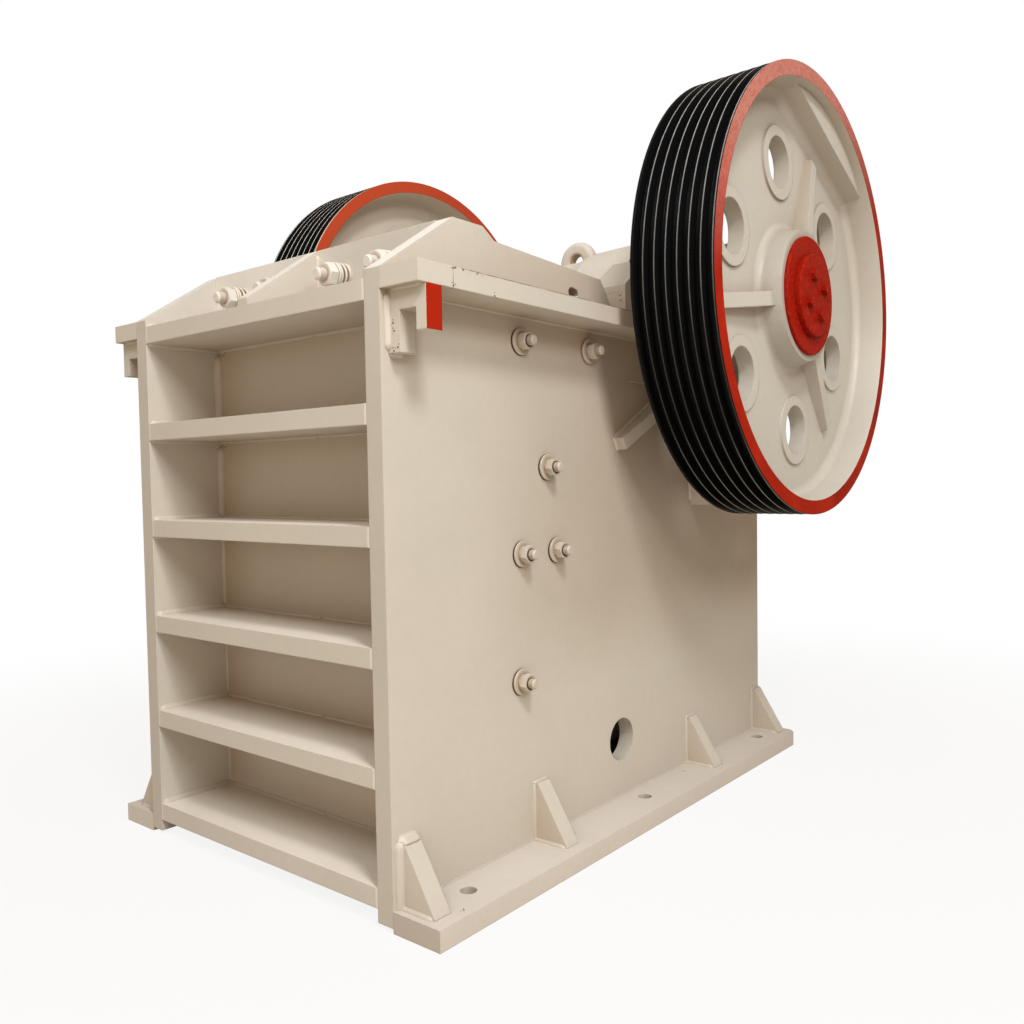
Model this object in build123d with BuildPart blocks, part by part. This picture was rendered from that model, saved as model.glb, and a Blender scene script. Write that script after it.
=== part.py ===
from build123d import *
import math
import os

os.makedirs("parts", exist_ok=True)

# Jaw crusher with a welded plate frame and two grooved flywheels, millimetres.
# X runs across the machine (right is +X), Y from the front shelves to the rear, Z up.
# The origin is on the floor, at the middle of the overall length and width.

# Crushing chamber
gape = 600
discharge = 110
chamber_above_deck = 83
chamber_bottom = 190
die_base = 52
tooth_height = 38
tooth_pitch = 100
tooth_flat = 22
die_side_gap = 10
cheek_thickness = 50
cheek_lower_height = 819
cheek_joint = 6
cheek_overlap = 70

# Frame plates
frame_width = 1120
wall_thickness = 55
wall_behind_shaft = 554
wall_foot = 12
deck_height = 1617
deck_thickness = 52
deck_overhang = 131
base_thickness = 55
base_overhang = 159
base_behind_wall = 17
base_corner = 24
weld_gap = 0.2

# Raised crest of the side walls: distances from the front edge and heights above the deck
crest_start = 257
crest_end = 375
crest_rise = 170
crest_step = 423
crest_step_rise = 139
crest_rear_rise = 117
crest_rear_run = 89
crest_gap = 9

# Front shelves and walls
shelf_count = 6
shelf_thickness = 52
lowest_shelf_top = 99
top_shelf_drop = 20.5
front_recess = 250
front_wall_thickness = 90
front_rib_thickness = 46
front_rib_setback = 5
rear_recess = 228
rear_wall_thickness = 60
rear_wall_drop = 367
rear_shelf_count = 4

# Brackets, gussets and holes of the frame
bracket_setback = 25
bracket_depth = 52
bracket_bar = 52
bracket_leg = 42
bracket_hook = 34
bracket_leg_drop = 152
bracket_hook_drop = 106
gusset_thickness = 56
gusset_height = 168
gusset_reach = 118
gusset_top = 14
gusset_front = 54
gusset_second = 587
gusset_third = 1488
gusset_rear_inset = 36
base_hole_count = 3
base_hole_radius = 22
base_hole_inset = 68
base_hole_front = 198
base_hole_rear = 175
access_hole_radius = 70
access_hole_ahead = 496
access_hole_height = 242
deck_hole_radius = 14
deck_hole_length = 44
deck_hole_ahead = 148
deck_hole_rise = 54
deck_hole_tilt = 8

# Shaft and its eccentric
shaft_behind_jaw = 494
shaft_above_deck = 91
journal_radius = 130
hub_seat_radius = 105
eccentric_radius = 150
eccentric_throw = 15
running_clearance = 0.3
moving_clearance = 6

# Bearing housings
housing_inset = 45
housing_block_proud = 30
housing_proud = 80
housing_radius = 290
housing_edge = 14
housing_cover_radius = 236
housing_cover_proud = 20
housing_half = 493
housing_shoulder = 127
housing_chamfer_rise = 103
housing_chamfer_run = 126
bearing_rib_thickness = 42
bearing_rib_angle = 29
bearing_rib_reach = 21
bearing_rib_drop = 490
bearing_rib_foot = 704
bearing_rib_tip = 36

# Flywheels
wheel_radius = 734
wheel_width = 270
wheel_gap = 121
rim_thickness = 47
rim_taper = 14
casting_fillet = 30
groove_count = 7
groove_pitch = 37
groove_width = 31
groove_floor = 19
groove_depth = 25
web_setback = 109
web_thickness = 40
hub_gap = 62
hub_radius = 216
hub_foot_radius = 236
hole_count = 6
hole_radius = 85.5
hole_circle_inset = 13.5
collar_radius = 120
collar_height = 8
wheel_angle = 68.7
wheel_rib_count = 3
wheel_rib_thickness = 46
wheel_rib_tip_gap = 150
wheel_rib_tip_height = 26
wheel_rib_shoulder = 22
counterweight_depth = 97
counterweight_slope = 14
counterweight_setback = 31
hub_disc_radius = 196
hub_disc_thickness = 12
retainer_radius = 136
retainer_thickness = 19
disc_chamfer = 3
retainer_bolt_circle = 70
retainer_bolt_count = 4
retainer_bolt_flats = 36
retainer_bolt_height = 16
retainer_bolt_angle = 25

# Pitman
pitman_side_gap = 17
head_radius = 264
head_shoulder_radius = 283
head_end_radius = 293
head_waist = 260
head_waist_taper = 75
jaw_plate = 70
jaw_above_die = 60
pitman_rib_thickness = 46
pitman_rib_count = 5
toe_length = 300
toe_depth = 300
toe_nose = 190
toe_foot = 60
lifting_eye_hole = 31
lifting_eye_wall = 52
lifting_eye_clearance = 1
lifting_eye_behind = 88
lifting_eye_thickness = 52
lifting_eye_outer_fillet = 22
lifting_eye_hole_fillet = 12

# Toggle plate, its seat and the adjusting wedges
toggle_end_radius = 36
toggle_plate_thickness = 46
toggle_side_gap = 15
toggle_angle = 16
toggle_pad_up = 170
toggle_pad_depth = 60
toggle_pad_height = 120
toggle_seat_lip = 10
toggle_seat_depth = 110
toggle_seat_height = 220
toggle_seat_gap = 6
wedge_depth = 57
wedge_slope = 16
wedge_side_gap = 105
ledge_height = 40
ledge_width = 60

# Tension rods and their springs
rod_radius = 21
rod_lug_edge = 8
rod_eye_width = 44
rod_eye_wall = 22
rod_pin_radius = 20
rod_pin_up = 110
rod_pin_behind = 100
rod_lug_thickness = 40
rod_lug_gap = 8
rod_lug_radius = 50
rod_nut_flats = 68
rod_nut_length = 34
rod_tail = 20
spring_radius = 52
spring_wire = 11
spring_length = 150
spring_closeness = 0.97
spring_plate_radius = 70
spring_plate_thickness = 16

# Places along the machine, worked out from the sizes above
die_thickness = die_base + tooth_height
jaw_seat = front_recess + front_wall_thickness
shaft_from_front = jaw_seat + die_thickness + gape + shaft_behind_jaw
front_y = -(shaft_from_front + wheel_radius) / 2
shaft_y = front_y + shaft_from_front
wall_length = shaft_from_front + wall_behind_shaft
wall_rear_y = front_y + wall_length
base_length = wall_length + base_behind_wall
front_wall_y = front_y + front_recess
jaw_seat_y = front_y + jaw_seat
rear_wall_y = wall_rear_y - rear_recess - rear_wall_thickness
rear_wall_back = rear_wall_y + rear_wall_thickness
crest_foot = shaft_from_front - housing_half - crest_gap
crest_rear = crest_foot - crest_rear_run
gusset_places = (gusset_front, gusset_second, gusset_third, wall_length - gusset_rear_inset)
base_hole_pitch = (base_length - base_hole_front - base_hole_rear) / (base_hole_count - 1)

# Places across the machine
wall_outer = frame_width / 2
wall_inner = wall_outer - wall_thickness
deck_edge = wall_outer + deck_overhang
base_edge = wall_outer + base_overhang
housing_inner = wall_inner - housing_inset
housing_block = wall_outer + housing_block_proud
housing_outer = wall_outer + housing_proud
rim_back = housing_outer + wheel_gap
wheel_face = rim_back + wheel_width
web_face = wheel_face - web_setback
web_back = web_face - web_thickness
hub_inner = housing_outer + hub_gap
rim_inner_radius = wheel_radius - rim_thickness
hole_circle = (hub_foot_radius + rim_inner_radius) / 2 - hole_circle_inset
wheel_rib_tip = rim_inner_radius - wheel_rib_tip_gap
counterweight_foot = rim_inner_radius - counterweight_depth
retainer_face = wheel_face - retainer_thickness
hub_face = retainer_face - hub_disc_thickness
die_width = 2 * (wall_inner - cheek_thickness - die_side_gap)
pitman_width = 2 * (housing_inner - pitman_side_gap)
rod_lug_reach = rod_eye_width / 2 + rod_lug_gap + rod_lug_thickness
rod_place = pitman_width / 2 - rod_lug_edge - rod_lug_reach
toggle_width = 2 * (rod_place - rod_lug_reach - toggle_side_gap)
wedge_width = 2 * (wall_inner - wedge_side_gap)

# Heights
deck_under = deck_height - deck_thickness
top_shelf = deck_height - top_shelf_drop
shelf_pitch = (top_shelf - lowest_shelf_top) / (shelf_count - 1)
rear_wall_height = deck_height - rear_wall_drop
shaft_height = deck_height + shaft_above_deck
chamber_top = deck_height + chamber_above_deck
cheek_split = chamber_bottom + cheek_lower_height + cheek_joint

# Shaft centre, and the centre of its eccentric, which rests opposite the counterweights
shaft_centre = (0, shaft_y, shaft_height)
shaft_axis = Axis(shaft_centre, (1, 0, 0))
low_angle = math.radians(wheel_angle + 180)
throw_at_rest = Vector(0, math.cos(low_angle), math.sin(low_angle)) * eccentric_throw
eccentric_centre = Vector(*shaft_centre) + throw_at_rest

# The moving jaw leans back from the discharge to the gape
jaw_rise = chamber_top - chamber_bottom
jaw_lean = math.atan2(gape - discharge, jaw_rise)
jaw_up = Vector(0, math.sin(jaw_lean), math.cos(jaw_lean))
jaw_back = Vector(0, math.cos(jaw_lean), -math.sin(jaw_lean))
jaw_foot = Vector(0, jaw_seat_y + die_thickness + discharge, chamber_bottom) + jaw_back * die_thickness
jaw_plane = Plane(origin=jaw_foot, x_dir=jaw_up, z_dir=(-1, 0, 0))
die_length = jaw_rise / math.cos(jaw_lean)


def on_jaw(along, behind):
    """A point of the pitman's profile, measured up the jaw and behind the die seat."""
    return jaw_foot + jaw_up * along + jaw_back * behind


def side_plane(x):
    """A sketch plane at X, with Y to the right and Z up."""
    return Plane(origin=(x, 0, 0), x_dir=(0, 1, 0), z_dir=(1, 0, 0))


def shaft_plane(x, angle=0):
    """A sketch plane at X, centred on the shaft and turned about it."""
    turn = math.radians(angle)
    start = (0, math.cos(turn), math.sin(turn))
    return Plane(origin=(x, shaft_y, shaft_height), x_dir=start, z_dir=(1, 0, 0))


def radial_plane(angle):
    """A sketch plane through the shaft, with X to the right and the radius up."""
    turn = math.radians(angle)
    return Plane(origin=shaft_centre, x_dir=(1, 0, 0), z_dir=(0, -math.sin(turn), math.cos(turn)))


def save(piece, label):
    """Label a finished piece and write it."""
    piece.part.label = label
    export_step(piece.part, f"parts/{label}.step")


def save_pair(piece, label):
    """Write a piece of the right side and its mirror image on the left."""
    save(piece, f"{label}_right")
    with BuildPart() as twin:
        mirror(piece.part, about=Plane.YZ)
    save(twin, f"{label}_left")


# Side walls: one plate a side, with the raised crest, the bearing cut-out and the access hole
with BuildPart() as side_wall:
    with BuildSketch(side_plane(wall_inner)):
        with BuildLine():
            Polyline(
                (front_y, wall_foot),
                (wall_rear_y, wall_foot),
                (wall_rear_y, deck_height),
                (front_y + crest_foot, deck_height),
                (front_y + crest_rear, deck_height + crest_rear_rise),
                (front_y + crest_step, deck_height + crest_step_rise),
                (front_y + crest_end, deck_height + crest_rise),
                (front_y + crest_start, deck_height + crest_rise),
                (front_y, deck_height),
                close=True,
            )
        make_face()
        with Locations((shaft_y, shaft_height)):
            Circle(housing_radius + running_clearance, mode=Mode.SUBTRACT)
        with Locations((shaft_y - access_hole_ahead, access_hole_height)):
            Circle(access_hole_radius, mode=Mode.SUBTRACT)
        with Locations((front_y + crest_rear - deck_hole_ahead, deck_height + deck_hole_rise)):
            SlotOverall(deck_hole_length, 2 * deck_hole_radius, rotation=-deck_hole_tilt, mode=Mode.SUBTRACT)
    extrude(amount=wall_thickness)
save_pair(side_wall, "side_wall")

# Front wall that carries the fixed jaw, and the shelves that stiffen it
with BuildPart() as front_wall:
    with BuildSketch(side_plane(0)):
        with Locations((front_wall_y, wall_foot)):
            Rectangle(
                front_wall_thickness,
                deck_height + crest_rise - wall_foot,
                align=(Align.MIN, Align.MIN),
            )
    extrude(amount=wall_inner, both=True)
save(front_wall, "front_wall")

for number in range(shelf_count):
    shelf_top = lowest_shelf_top + number * shelf_pitch
    with BuildPart() as front_shelf:
        with BuildSketch(side_plane(0)):
            with Locations((front_y, shelf_top - shelf_thickness)):
                Rectangle(front_recess, shelf_thickness, align=(Align.MIN, Align.MIN))
        extrude(amount=wall_inner, both=True)
    save(front_shelf, f"front_shelf_{number + 1}")

# Middle rib between the top shelf and the head of the front wall
with BuildPart() as front_rib:
    with BuildSketch(side_plane(0)):
        with BuildLine():
            Polyline(
                (front_y + front_rib_setback, top_shelf),
                (front_wall_y, top_shelf),
                (front_wall_y, deck_height + crest_rise),
                (front_y + front_rib_setback, deck_height),
                close=True,
            )
        make_face()
    extrude(amount=front_rib_thickness / 2, both=True)
save(front_rib, "front_rib")

# Deck flanges along the tops of the side walls, notched round the bearing housings
with BuildPart() as deck_flange:
    with BuildSketch(side_plane(wall_outer)):
        with Locations((front_y, deck_under)):
            Rectangle(wall_length, deck_thickness, align=(Align.MIN, Align.MIN))
    extrude(amount=deck_overhang)
    with BuildSketch(shaft_plane(wall_outer)):
        Circle(housing_radius + running_clearance)
    extrude(amount=deck_overhang, mode=Mode.SUBTRACT)
save_pair(deck_flange, "deck_flange")

# Hooked corner brackets under the front ends of the deck flanges
with BuildPart() as corner_bracket:
    bracket_plane = Plane(origin=(0, front_y + bracket_setback, 0), x_dir=(1, 0, 0), z_dir=(0, -1, 0))
    with BuildSketch(bracket_plane):
        with BuildLine():
            Polyline(
                (wall_outer, deck_under),
                (deck_edge, deck_under),
                (deck_edge, deck_under - bracket_hook_drop),
                (deck_edge - bracket_hook, deck_under - bracket_hook_drop),
                (deck_edge - bracket_hook, deck_under - bracket_bar),
                (wall_outer + bracket_leg, deck_under - bracket_bar),
                (wall_outer + bracket_leg, deck_under - bracket_leg_drop),
                (wall_outer, deck_under - bracket_leg_drop),
                close=True,
            )
        make_face()
    extrude(amount=-bracket_depth)
save_pair(corner_bracket, "corner_bracket")

# Base flanges with their anchor holes, on the floor along both walls
with BuildPart() as base_flange:
    with BuildSketch(Plane.XY):
        with BuildLine():
            Polyline(
                (wall_outer, front_y),
                (base_edge, front_y),
                (base_edge, front_y + base_length - base_corner),
                (base_edge - base_corner, front_y + base_length),
                (wall_outer, front_y + base_length),
                close=True,
            )
        make_face()
        for index in range(base_hole_count):
            hole_y = front_y + base_hole_front + index * base_hole_pitch
            with Locations((wall_outer + base_hole_inset, hole_y)):
                Circle(base_hole_radius, mode=Mode.SUBTRACT)
    extrude(amount=base_thickness)
save_pair(base_flange, "base_flange")

# Triangular gussets between the base flanges and the walls
with BuildPart() as base_gussets:
    for place in gusset_places:
        gusset_plane = Plane(origin=(0, front_y + place, 0), x_dir=(1, 0, 0), z_dir=(0, -1, 0))
        with BuildSketch(gusset_plane):
            with BuildLine():
                Polyline(
                    (wall_outer, base_thickness),
                    (wall_outer + gusset_reach, base_thickness),
                    (wall_outer + gusset_top, base_thickness + gusset_height),
                    (wall_outer, base_thickness + gusset_height),
                    close=True,
                )
            make_face()
        extrude(amount=gusset_thickness / 2, both=True)
save_pair(base_gussets, "base_gussets")

# Line of the tension rods, from the orbit of the pin to the middle of the lowest bay of the rear wall
pin_centre = on_jaw(rod_pin_up, toe_depth + rod_pin_behind)
rod_start = pin_centre - throw_at_rest
rod_hole_height = lowest_shelf_top + (shelf_pitch - shelf_thickness) / 2
rod_turn = math.atan2(rod_hole_height - rod_start.Z, rear_wall_back - rod_start.Y)
rod_ahead = Vector(0, math.cos(rod_turn), math.sin(rod_turn))


def rod_point(distance):
    """A point of the rod line in the middle plane, measured from the eye."""
    return rod_start + rod_ahead * distance


def rod_plane(x, distance):
    """A sketch plane square to a tension rod."""
    return Plane(origin=rod_point(distance) + Vector(x, 0, 0), x_dir=(1, 0, 0), z_dir=rod_ahead)


# Springs behind the rear wall, between a cast seat and a plate with its nut
eye_inner = rod_pin_radius + eccentric_throw + moving_clearance
spring_start = (rear_wall_back - rod_start.Y) / math.cos(rod_turn) + spring_plate_thickness
spring_seat_depth = spring_plate_thickness + spring_plate_radius * math.tan(abs(rod_turn))
spring_end = spring_start + spring_length
nut_start = spring_end + spring_plate_thickness
rod_end = nut_start + rod_nut_length + rod_tail

# Toggle line, from the pad on the pitman up to the seat in front of the rear wall
toggle_turn = math.radians(toggle_angle)
toggle_ahead = Vector(0, math.cos(toggle_turn), math.sin(toggle_turn))
toggle_across = Vector(0, -math.sin(toggle_turn), math.cos(toggle_turn))
toggle_travel = eccentric_throw * (1 - math.cos(low_angle - toggle_turn))
pad_foot = on_jaw(toggle_pad_up, toe_depth)
pad_face = pad_foot + toggle_ahead * toggle_pad_depth
toggle_front = pad_face + toggle_ahead * (toggle_travel + moving_clearance + toggle_end_radius)
seat_back_y = rear_wall_y - wedge_depth
toggle_rear_y = seat_back_y - toggle_seat_depth
toggle_length = (toggle_rear_y - toggle_front.Y) / math.cos(toggle_turn)
toggle_rear = toggle_front + toggle_ahead * toggle_length
seat_front_y = toggle_rear_y - toggle_seat_lip
seat_bottom = toggle_rear.Z - toggle_seat_height / 2

# Rear wall, lower than the front, with ledges for the toggle seat, holes for the tension rods and
# cast seats square to the rods for their springs
with BuildPart() as rear_wall:
    with BuildSketch(side_plane(0)):
        with Locations((rear_wall_y, wall_foot)):
            Rectangle(rear_wall_thickness, rear_wall_height - wall_foot, align=(Align.MIN, Align.MIN))
    extrude(amount=wall_inner, both=True)
    for side in (1, -1):
        with BuildSketch(side_plane(side * wall_inner)):
            with Locations((rear_wall_y, seat_bottom)):
                Rectangle(rear_wall_y - seat_front_y, ledge_height, align=(Align.MAX, Align.MAX))
        extrude(amount=-side * ledge_width)
        with BuildSketch(rod_plane(side * rod_place, spring_start)):
            Circle(spring_plate_radius)
        extrude(amount=-spring_seat_depth)
        with BuildSketch(rod_plane(side * rod_place, 0)):
            Circle(rod_radius + moving_clearance)
        extrude(amount=wall_length, mode=Mode.SUBTRACT)
save(rear_wall, "rear_wall")

with BuildPart() as rear_shelves:
    for number in range(rear_shelf_count):
        with BuildSketch(side_plane(0)):
            with Locations((wall_rear_y, lowest_shelf_top + number * shelf_pitch)):
                Rectangle(rear_recess, shelf_thickness, align=(Align.MAX, Align.MAX))
        extrude(amount=wall_inner, both=True)
    with BuildSketch(side_plane(0)):
        with Locations((wall_rear_y, rear_wall_height)):
            Rectangle(rear_recess, shelf_thickness, align=(Align.MAX, Align.MAX))
    extrude(amount=wall_inner, both=True)
save(rear_shelves, "rear_shelves")

# Bearing seats welded into the walls, split from their caps at the height of the shaft
shoulder_top = shaft_height + housing_shoulder


def housing_profile():
    """Half section of the round housing: bore, inner face, rim with a bevelled edge, and end cover."""
    cover_face = housing_outer - housing_cover_proud
    Polyline(
        (housing_inner, journal_radius + running_clearance),
        (housing_inner, housing_radius),
        (cover_face - housing_edge, housing_radius),
        (cover_face, housing_radius - housing_edge),
        (cover_face, housing_cover_radius),
        (housing_outer, housing_cover_radius),
        (housing_outer, journal_radius + running_clearance),
        close=True,
    )


with BuildPart() as bearing_seat:
    with BuildSketch(side_plane(housing_inner)):
        with Locations((shaft_y, deck_height)):
            Rectangle(2 * housing_half, shaft_height - deck_height, align=(Align.CENTER, Align.MIN))
        with Locations((shaft_y, shaft_height)):
            Circle(journal_radius + running_clearance, mode=Mode.SUBTRACT)
    extrude(amount=housing_block - housing_inner)
    with BuildSketch(radial_plane(180)):
        with BuildLine():
            housing_profile()
        make_face()
    revolve(axis=shaft_axis, revolution_arc=180)
save_pair(bearing_seat, "bearing_seat")

with BuildPart() as bearing_cap:
    with BuildSketch(side_plane(housing_inner)):
        with BuildLine():
            Polyline(
                (shaft_y - housing_half, shaft_height),
                (shaft_y + housing_half, shaft_height),
                (shaft_y + housing_half, shoulder_top - housing_chamfer_rise),
                (shaft_y + housing_half - housing_chamfer_run, shoulder_top),
                (shaft_y - housing_half + housing_chamfer_run, shoulder_top),
                (shaft_y - housing_half, shoulder_top - housing_chamfer_rise),
                close=True,
            )
        make_face()
        with Locations((shaft_y, shaft_height)):
            Circle(journal_radius + running_clearance, mode=Mode.SUBTRACT)
    extrude(amount=housing_block - housing_inner)
    with BuildSketch(radial_plane(0)):
        with BuildLine():
            housing_profile()
        make_face()
    revolve(axis=shaft_axis, revolution_arc=180)
save_pair(bearing_cap, "bearing_cap")

# Ribs on the walls that carry the bearing seats: one each side of an upright, slanting and rising
# from a low tip
rib_turn = math.radians(bearing_rib_angle)
with BuildPart() as bearing_ribs:
    for mirror_side in (1, -1):
        start_y = shaft_y - mirror_side * (housing_half + bearing_rib_reach)
        slant = Plane(
            origin=(wall_outer, start_y, shaft_height - bearing_rib_drop),
            x_dir=(0, mirror_side * math.cos(rib_turn), math.sin(rib_turn)),
            z_dir=(0, math.sin(rib_turn), -mirror_side * math.cos(rib_turn)),
        )
        with BuildSketch(slant):
            with BuildLine():
                Polyline(
                    (0, 0),
                    (2 * housing_radius, 0),
                    (2 * housing_radius, housing_outer - wall_outer),
                    (0, bearing_rib_tip),
                    close=True,
                )
            make_face()
        extrude(amount=bearing_rib_thickness / 2, both=True)
    with BuildSketch(side_plane(wall_outer)):
        with Locations((shaft_y, shaft_height - bearing_rib_foot)):
            Rectangle(bearing_rib_thickness, bearing_rib_foot, align=(Align.CENTER, Align.MIN))
    extrude(amount=housing_outer - wall_outer)
    with BuildSketch(side_plane(wall_outer)):
        with Locations((shaft_y, shaft_height)):
            Circle(housing_radius + weld_gap)
        with Locations((shaft_y, deck_under)):
            Rectangle(wall_length, wall_length, align=(Align.CENTER, Align.MIN))
    extrude(amount=housing_outer - wall_outer, mode=Mode.SUBTRACT)
save_pair(bearing_ribs, "bearing_ribs")


def toothed_profile(teeth):
    """Outline of a corrugated die across its width, from its back face to its teeth."""
    half = die_width / 2
    root = (tooth_pitch - tooth_flat) / 2
    points = [(-half, 0), (-half, die_base)]
    for index in range(teeth):
        middle = (index - (teeth - 1) / 2) * tooth_pitch
        points.append((middle - root, die_base))
        points.append((middle - tooth_flat / 2, die_thickness))
        points.append((middle + tooth_flat / 2, die_thickness))
        points.append((middle + root, die_base))
    points.append((half, die_base))
    points.append((half, 0))
    return points


# Fixed die on the front wall and moving die on the pitman, teeth facing valleys
tooth_count = int((die_width - tooth_pitch + tooth_flat) / tooth_pitch) + 1
with BuildPart() as fixed_jaw_die:
    with BuildSketch(Plane(origin=(0, jaw_seat_y, chamber_bottom), x_dir=(1, 0, 0), z_dir=(0, 0, 1))):
        with BuildLine():
            Polyline(*toothed_profile(tooth_count), close=True)
        make_face()
    extrude(amount=jaw_rise)
save(fixed_jaw_die, "fixed_jaw_die")

with BuildPart() as moving_jaw_die:
    with BuildSketch(Plane(origin=jaw_foot, x_dir=(1, 0, 0), z_dir=-jaw_up)):
        with BuildLine():
            Polyline(*toothed_profile(tooth_count - 1), close=True)
        make_face()
    extrude(amount=-die_length)
save(moving_jaw_die, "moving_jaw_die")

# Cheek plates that line the side walls between the dies, an upper and a lower one a side
face_foot_y = jaw_seat_y + die_thickness + discharge
cheek_slope = math.tan(jaw_lean)
with BuildPart() as cheek_plates:
    for low, high in ((chamber_bottom, cheek_split - cheek_joint), (cheek_split, deck_height)):
        with BuildSketch(side_plane(wall_inner)):
            with BuildLine():
                Polyline(
                    (jaw_seat_y, low),
                    (face_foot_y + cheek_overlap + (low - chamber_bottom) * cheek_slope, low),
                    (face_foot_y + cheek_overlap + (high - chamber_bottom) * cheek_slope, high),
                    (jaw_seat_y, high),
                    close=True,
                )
            make_face()
        extrude(amount=-cheek_thickness)
save_pair(cheek_plates, "cheek_plates")

# Pitman: head tube, jaw plate, toe and the upright ribs behind the plate
head_from_foot = eccentric_centre - jaw_foot
head_up = head_from_foot.dot(jaw_up)
head_behind = head_from_foot.dot(jaw_back)
jaw_plate_length = die_length + jaw_above_die
with BuildPart() as pitman:
    for index in range(pitman_rib_count):
        rib_x = (index / (pitman_rib_count - 1) - 0.5) * (pitman_width - pitman_rib_thickness)
        with BuildSketch(jaw_plane.offset(-rib_x)):
            with Locations((head_up, head_behind)):
                Circle(head_radius)
            with BuildLine():
                Polyline(
                    (0, 0),
                    (jaw_plate_length, 0),
                    (toe_length, toe_depth),
                    (0, toe_nose),
                    close=True,
                )
            make_face()
            make_hull()
        extrude(amount=pitman_rib_thickness / 2, both=True)
    with BuildSketch(jaw_plane):
        Rectangle(jaw_plate_length, jaw_plate, align=(Align.MIN, Align.MIN))
        with BuildLine():
            Polyline(
                (0, 0),
                (toe_length, 0),
                (toe_length, toe_depth),
                (toe_foot, toe_depth),
                (0, toe_nose),
                close=True,
            )
        make_face()
    extrude(amount=pitman_width / 2, both=True)
    with BuildSketch(Plane(origin=eccentric_centre, x_dir=(1, 0, 0), z_dir=(0, -1, 0))):
        with BuildLine():
            Polyline(
                (-pitman_width / 2, 0),
                (-pitman_width / 2, head_end_radius),
                (-head_waist / 2 - head_waist_taper, head_shoulder_radius),
                (-head_waist / 2, head_radius),
                (head_waist / 2, head_radius),
                (head_waist / 2 + head_waist_taper, head_shoulder_radius),
                (pitman_width / 2, head_end_radius),
                (pitman_width / 2, 0),
                close=True,
            )
        make_face()
    revolve(axis=Axis(eccentric_centre, (1, 0, 0)))
    with BuildSketch(jaw_plane):
        with Locations((head_up, head_behind)):
            Circle(eccentric_radius + running_clearance)
    extrude(amount=pitman_width, both=True, mode=Mode.SUBTRACT)
    for side in (1, -1):
        for edge in (1, -1):
            lug_x = side * rod_place + edge * (rod_lug_reach - rod_lug_thickness / 2)
            with BuildSketch(jaw_plane.offset(-lug_x)):
                with Locations((rod_pin_up, toe_depth + rod_pin_behind)):
                    Circle(rod_lug_radius)
                with Locations((rod_pin_up, toe_depth)):
                    Rectangle(2 * rod_lug_radius, rod_pin_behind, align=(Align.CENTER, Align.MIN))
            extrude(amount=rod_lug_thickness / 2, both=True)
        with BuildSketch(jaw_plane.offset(-side * rod_place)):
            with Locations((rod_pin_up, toe_depth + rod_pin_behind)):
                Circle(rod_pin_radius)
        extrude(amount=rod_eye_width / 2 + rod_lug_gap, both=True)
save(pitman, "pitman")

# Pad on the toe of the pitman that faces the toggle plate
with BuildPart() as toggle_pad:
    with BuildSketch(side_plane(0)):
        upper = on_jaw(toggle_pad_up + toggle_pad_height / 2, toe_depth)
        lower = on_jaw(toggle_pad_up - toggle_pad_height / 2, toe_depth)
        face_top = pad_face + toggle_across * (toggle_pad_height / 2)
        face_low = pad_face - toggle_across * (toggle_pad_height / 2)
        with BuildLine():
            Polyline(
                (upper.Y, upper.Z),
                (face_top.Y, face_top.Z),
                (face_low.Y, face_low.Z),
                (lower.Y, lower.Z),
                close=True,
            )
        make_face()
    extrude(amount=toggle_width / 2, both=True)
save(toggle_pad, "toggle_pad")

# Toggle plate with rounded ends, its seat beam and the adjusting wedges behind it
toggle_plane = Plane(origin=toggle_front, x_dir=toggle_ahead, z_dir=(1, 0, 0))
with BuildPart() as toggle_plate:
    with BuildSketch(toggle_plane):
        with Locations((0, 0), (toggle_length, 0)):
            Circle(toggle_end_radius)
        Rectangle(toggle_length, toggle_plate_thickness, align=(Align.MIN, Align.CENTER))
    extrude(amount=toggle_width / 2, both=True)
save(toggle_plate, "toggle_plate")

with BuildPart() as toggle_seat:
    with BuildSketch(side_plane(0)):
        with Locations((seat_front_y, seat_bottom)):
            Rectangle(seat_back_y - seat_front_y, toggle_seat_height, align=(Align.MIN, Align.MIN))
        with Locations((toggle_rear.Y, toggle_rear.Z)):
            Circle(toggle_end_radius + running_clearance, mode=Mode.SUBTRACT)
    extrude(amount=wall_inner - toggle_seat_gap, both=True)
save(toggle_seat, "toggle_seat")

wedge_middle = (seat_back_y + rear_wall_y) / 2
wedge_top = seat_bottom + toggle_seat_height
with BuildPart() as adjusting_wedges:
    for back_y, turn in ((seat_back_y, 1), (rear_wall_y, -1)):
        with BuildSketch(side_plane(0)):
            with BuildLine():
                Polyline(
                    (back_y, seat_bottom),
                    (wedge_middle - wedge_slope / 2 - turn * weld_gap, seat_bottom),
                    (wedge_middle + wedge_slope / 2 - turn * weld_gap, wedge_top),
                    (back_y, wedge_top),
                    close=True,
                )
            make_face()
        extrude(amount=wedge_width / 2, both=True)
save(adjusting_wedges, "adjusting_wedges")

# Tension rods with an eye round the pin of the pitman, plates and nuts behind the rear wall
with BuildPart() as tension_rods:
    for side in (1, -1):
        with BuildSketch(side_plane(side * rod_place)):
            with Locations((rod_start.Y, rod_start.Z)):
                Circle(eye_inner + rod_eye_wall)
        extrude(amount=rod_eye_width / 2, both=True)
        with BuildSketch(rod_plane(side * rod_place, eye_inner)):
            Circle(rod_radius)
        extrude(amount=rod_end - eye_inner)
        with BuildSketch(side_plane(side * rod_place)):
            with Locations((rod_start.Y, rod_start.Z)):
                Circle(eye_inner)
        extrude(amount=rod_eye_width, both=True, mode=Mode.SUBTRACT)
        with BuildSketch(rod_plane(side * rod_place, spring_end)):
            Circle(spring_plate_radius)
        extrude(amount=spring_plate_thickness)
        with BuildSketch(rod_plane(side * rod_place, nut_start)):
            RegularPolygon(rod_nut_flats / 2, 6, major_radius=False)
        extrude(amount=rod_nut_length)
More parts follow.
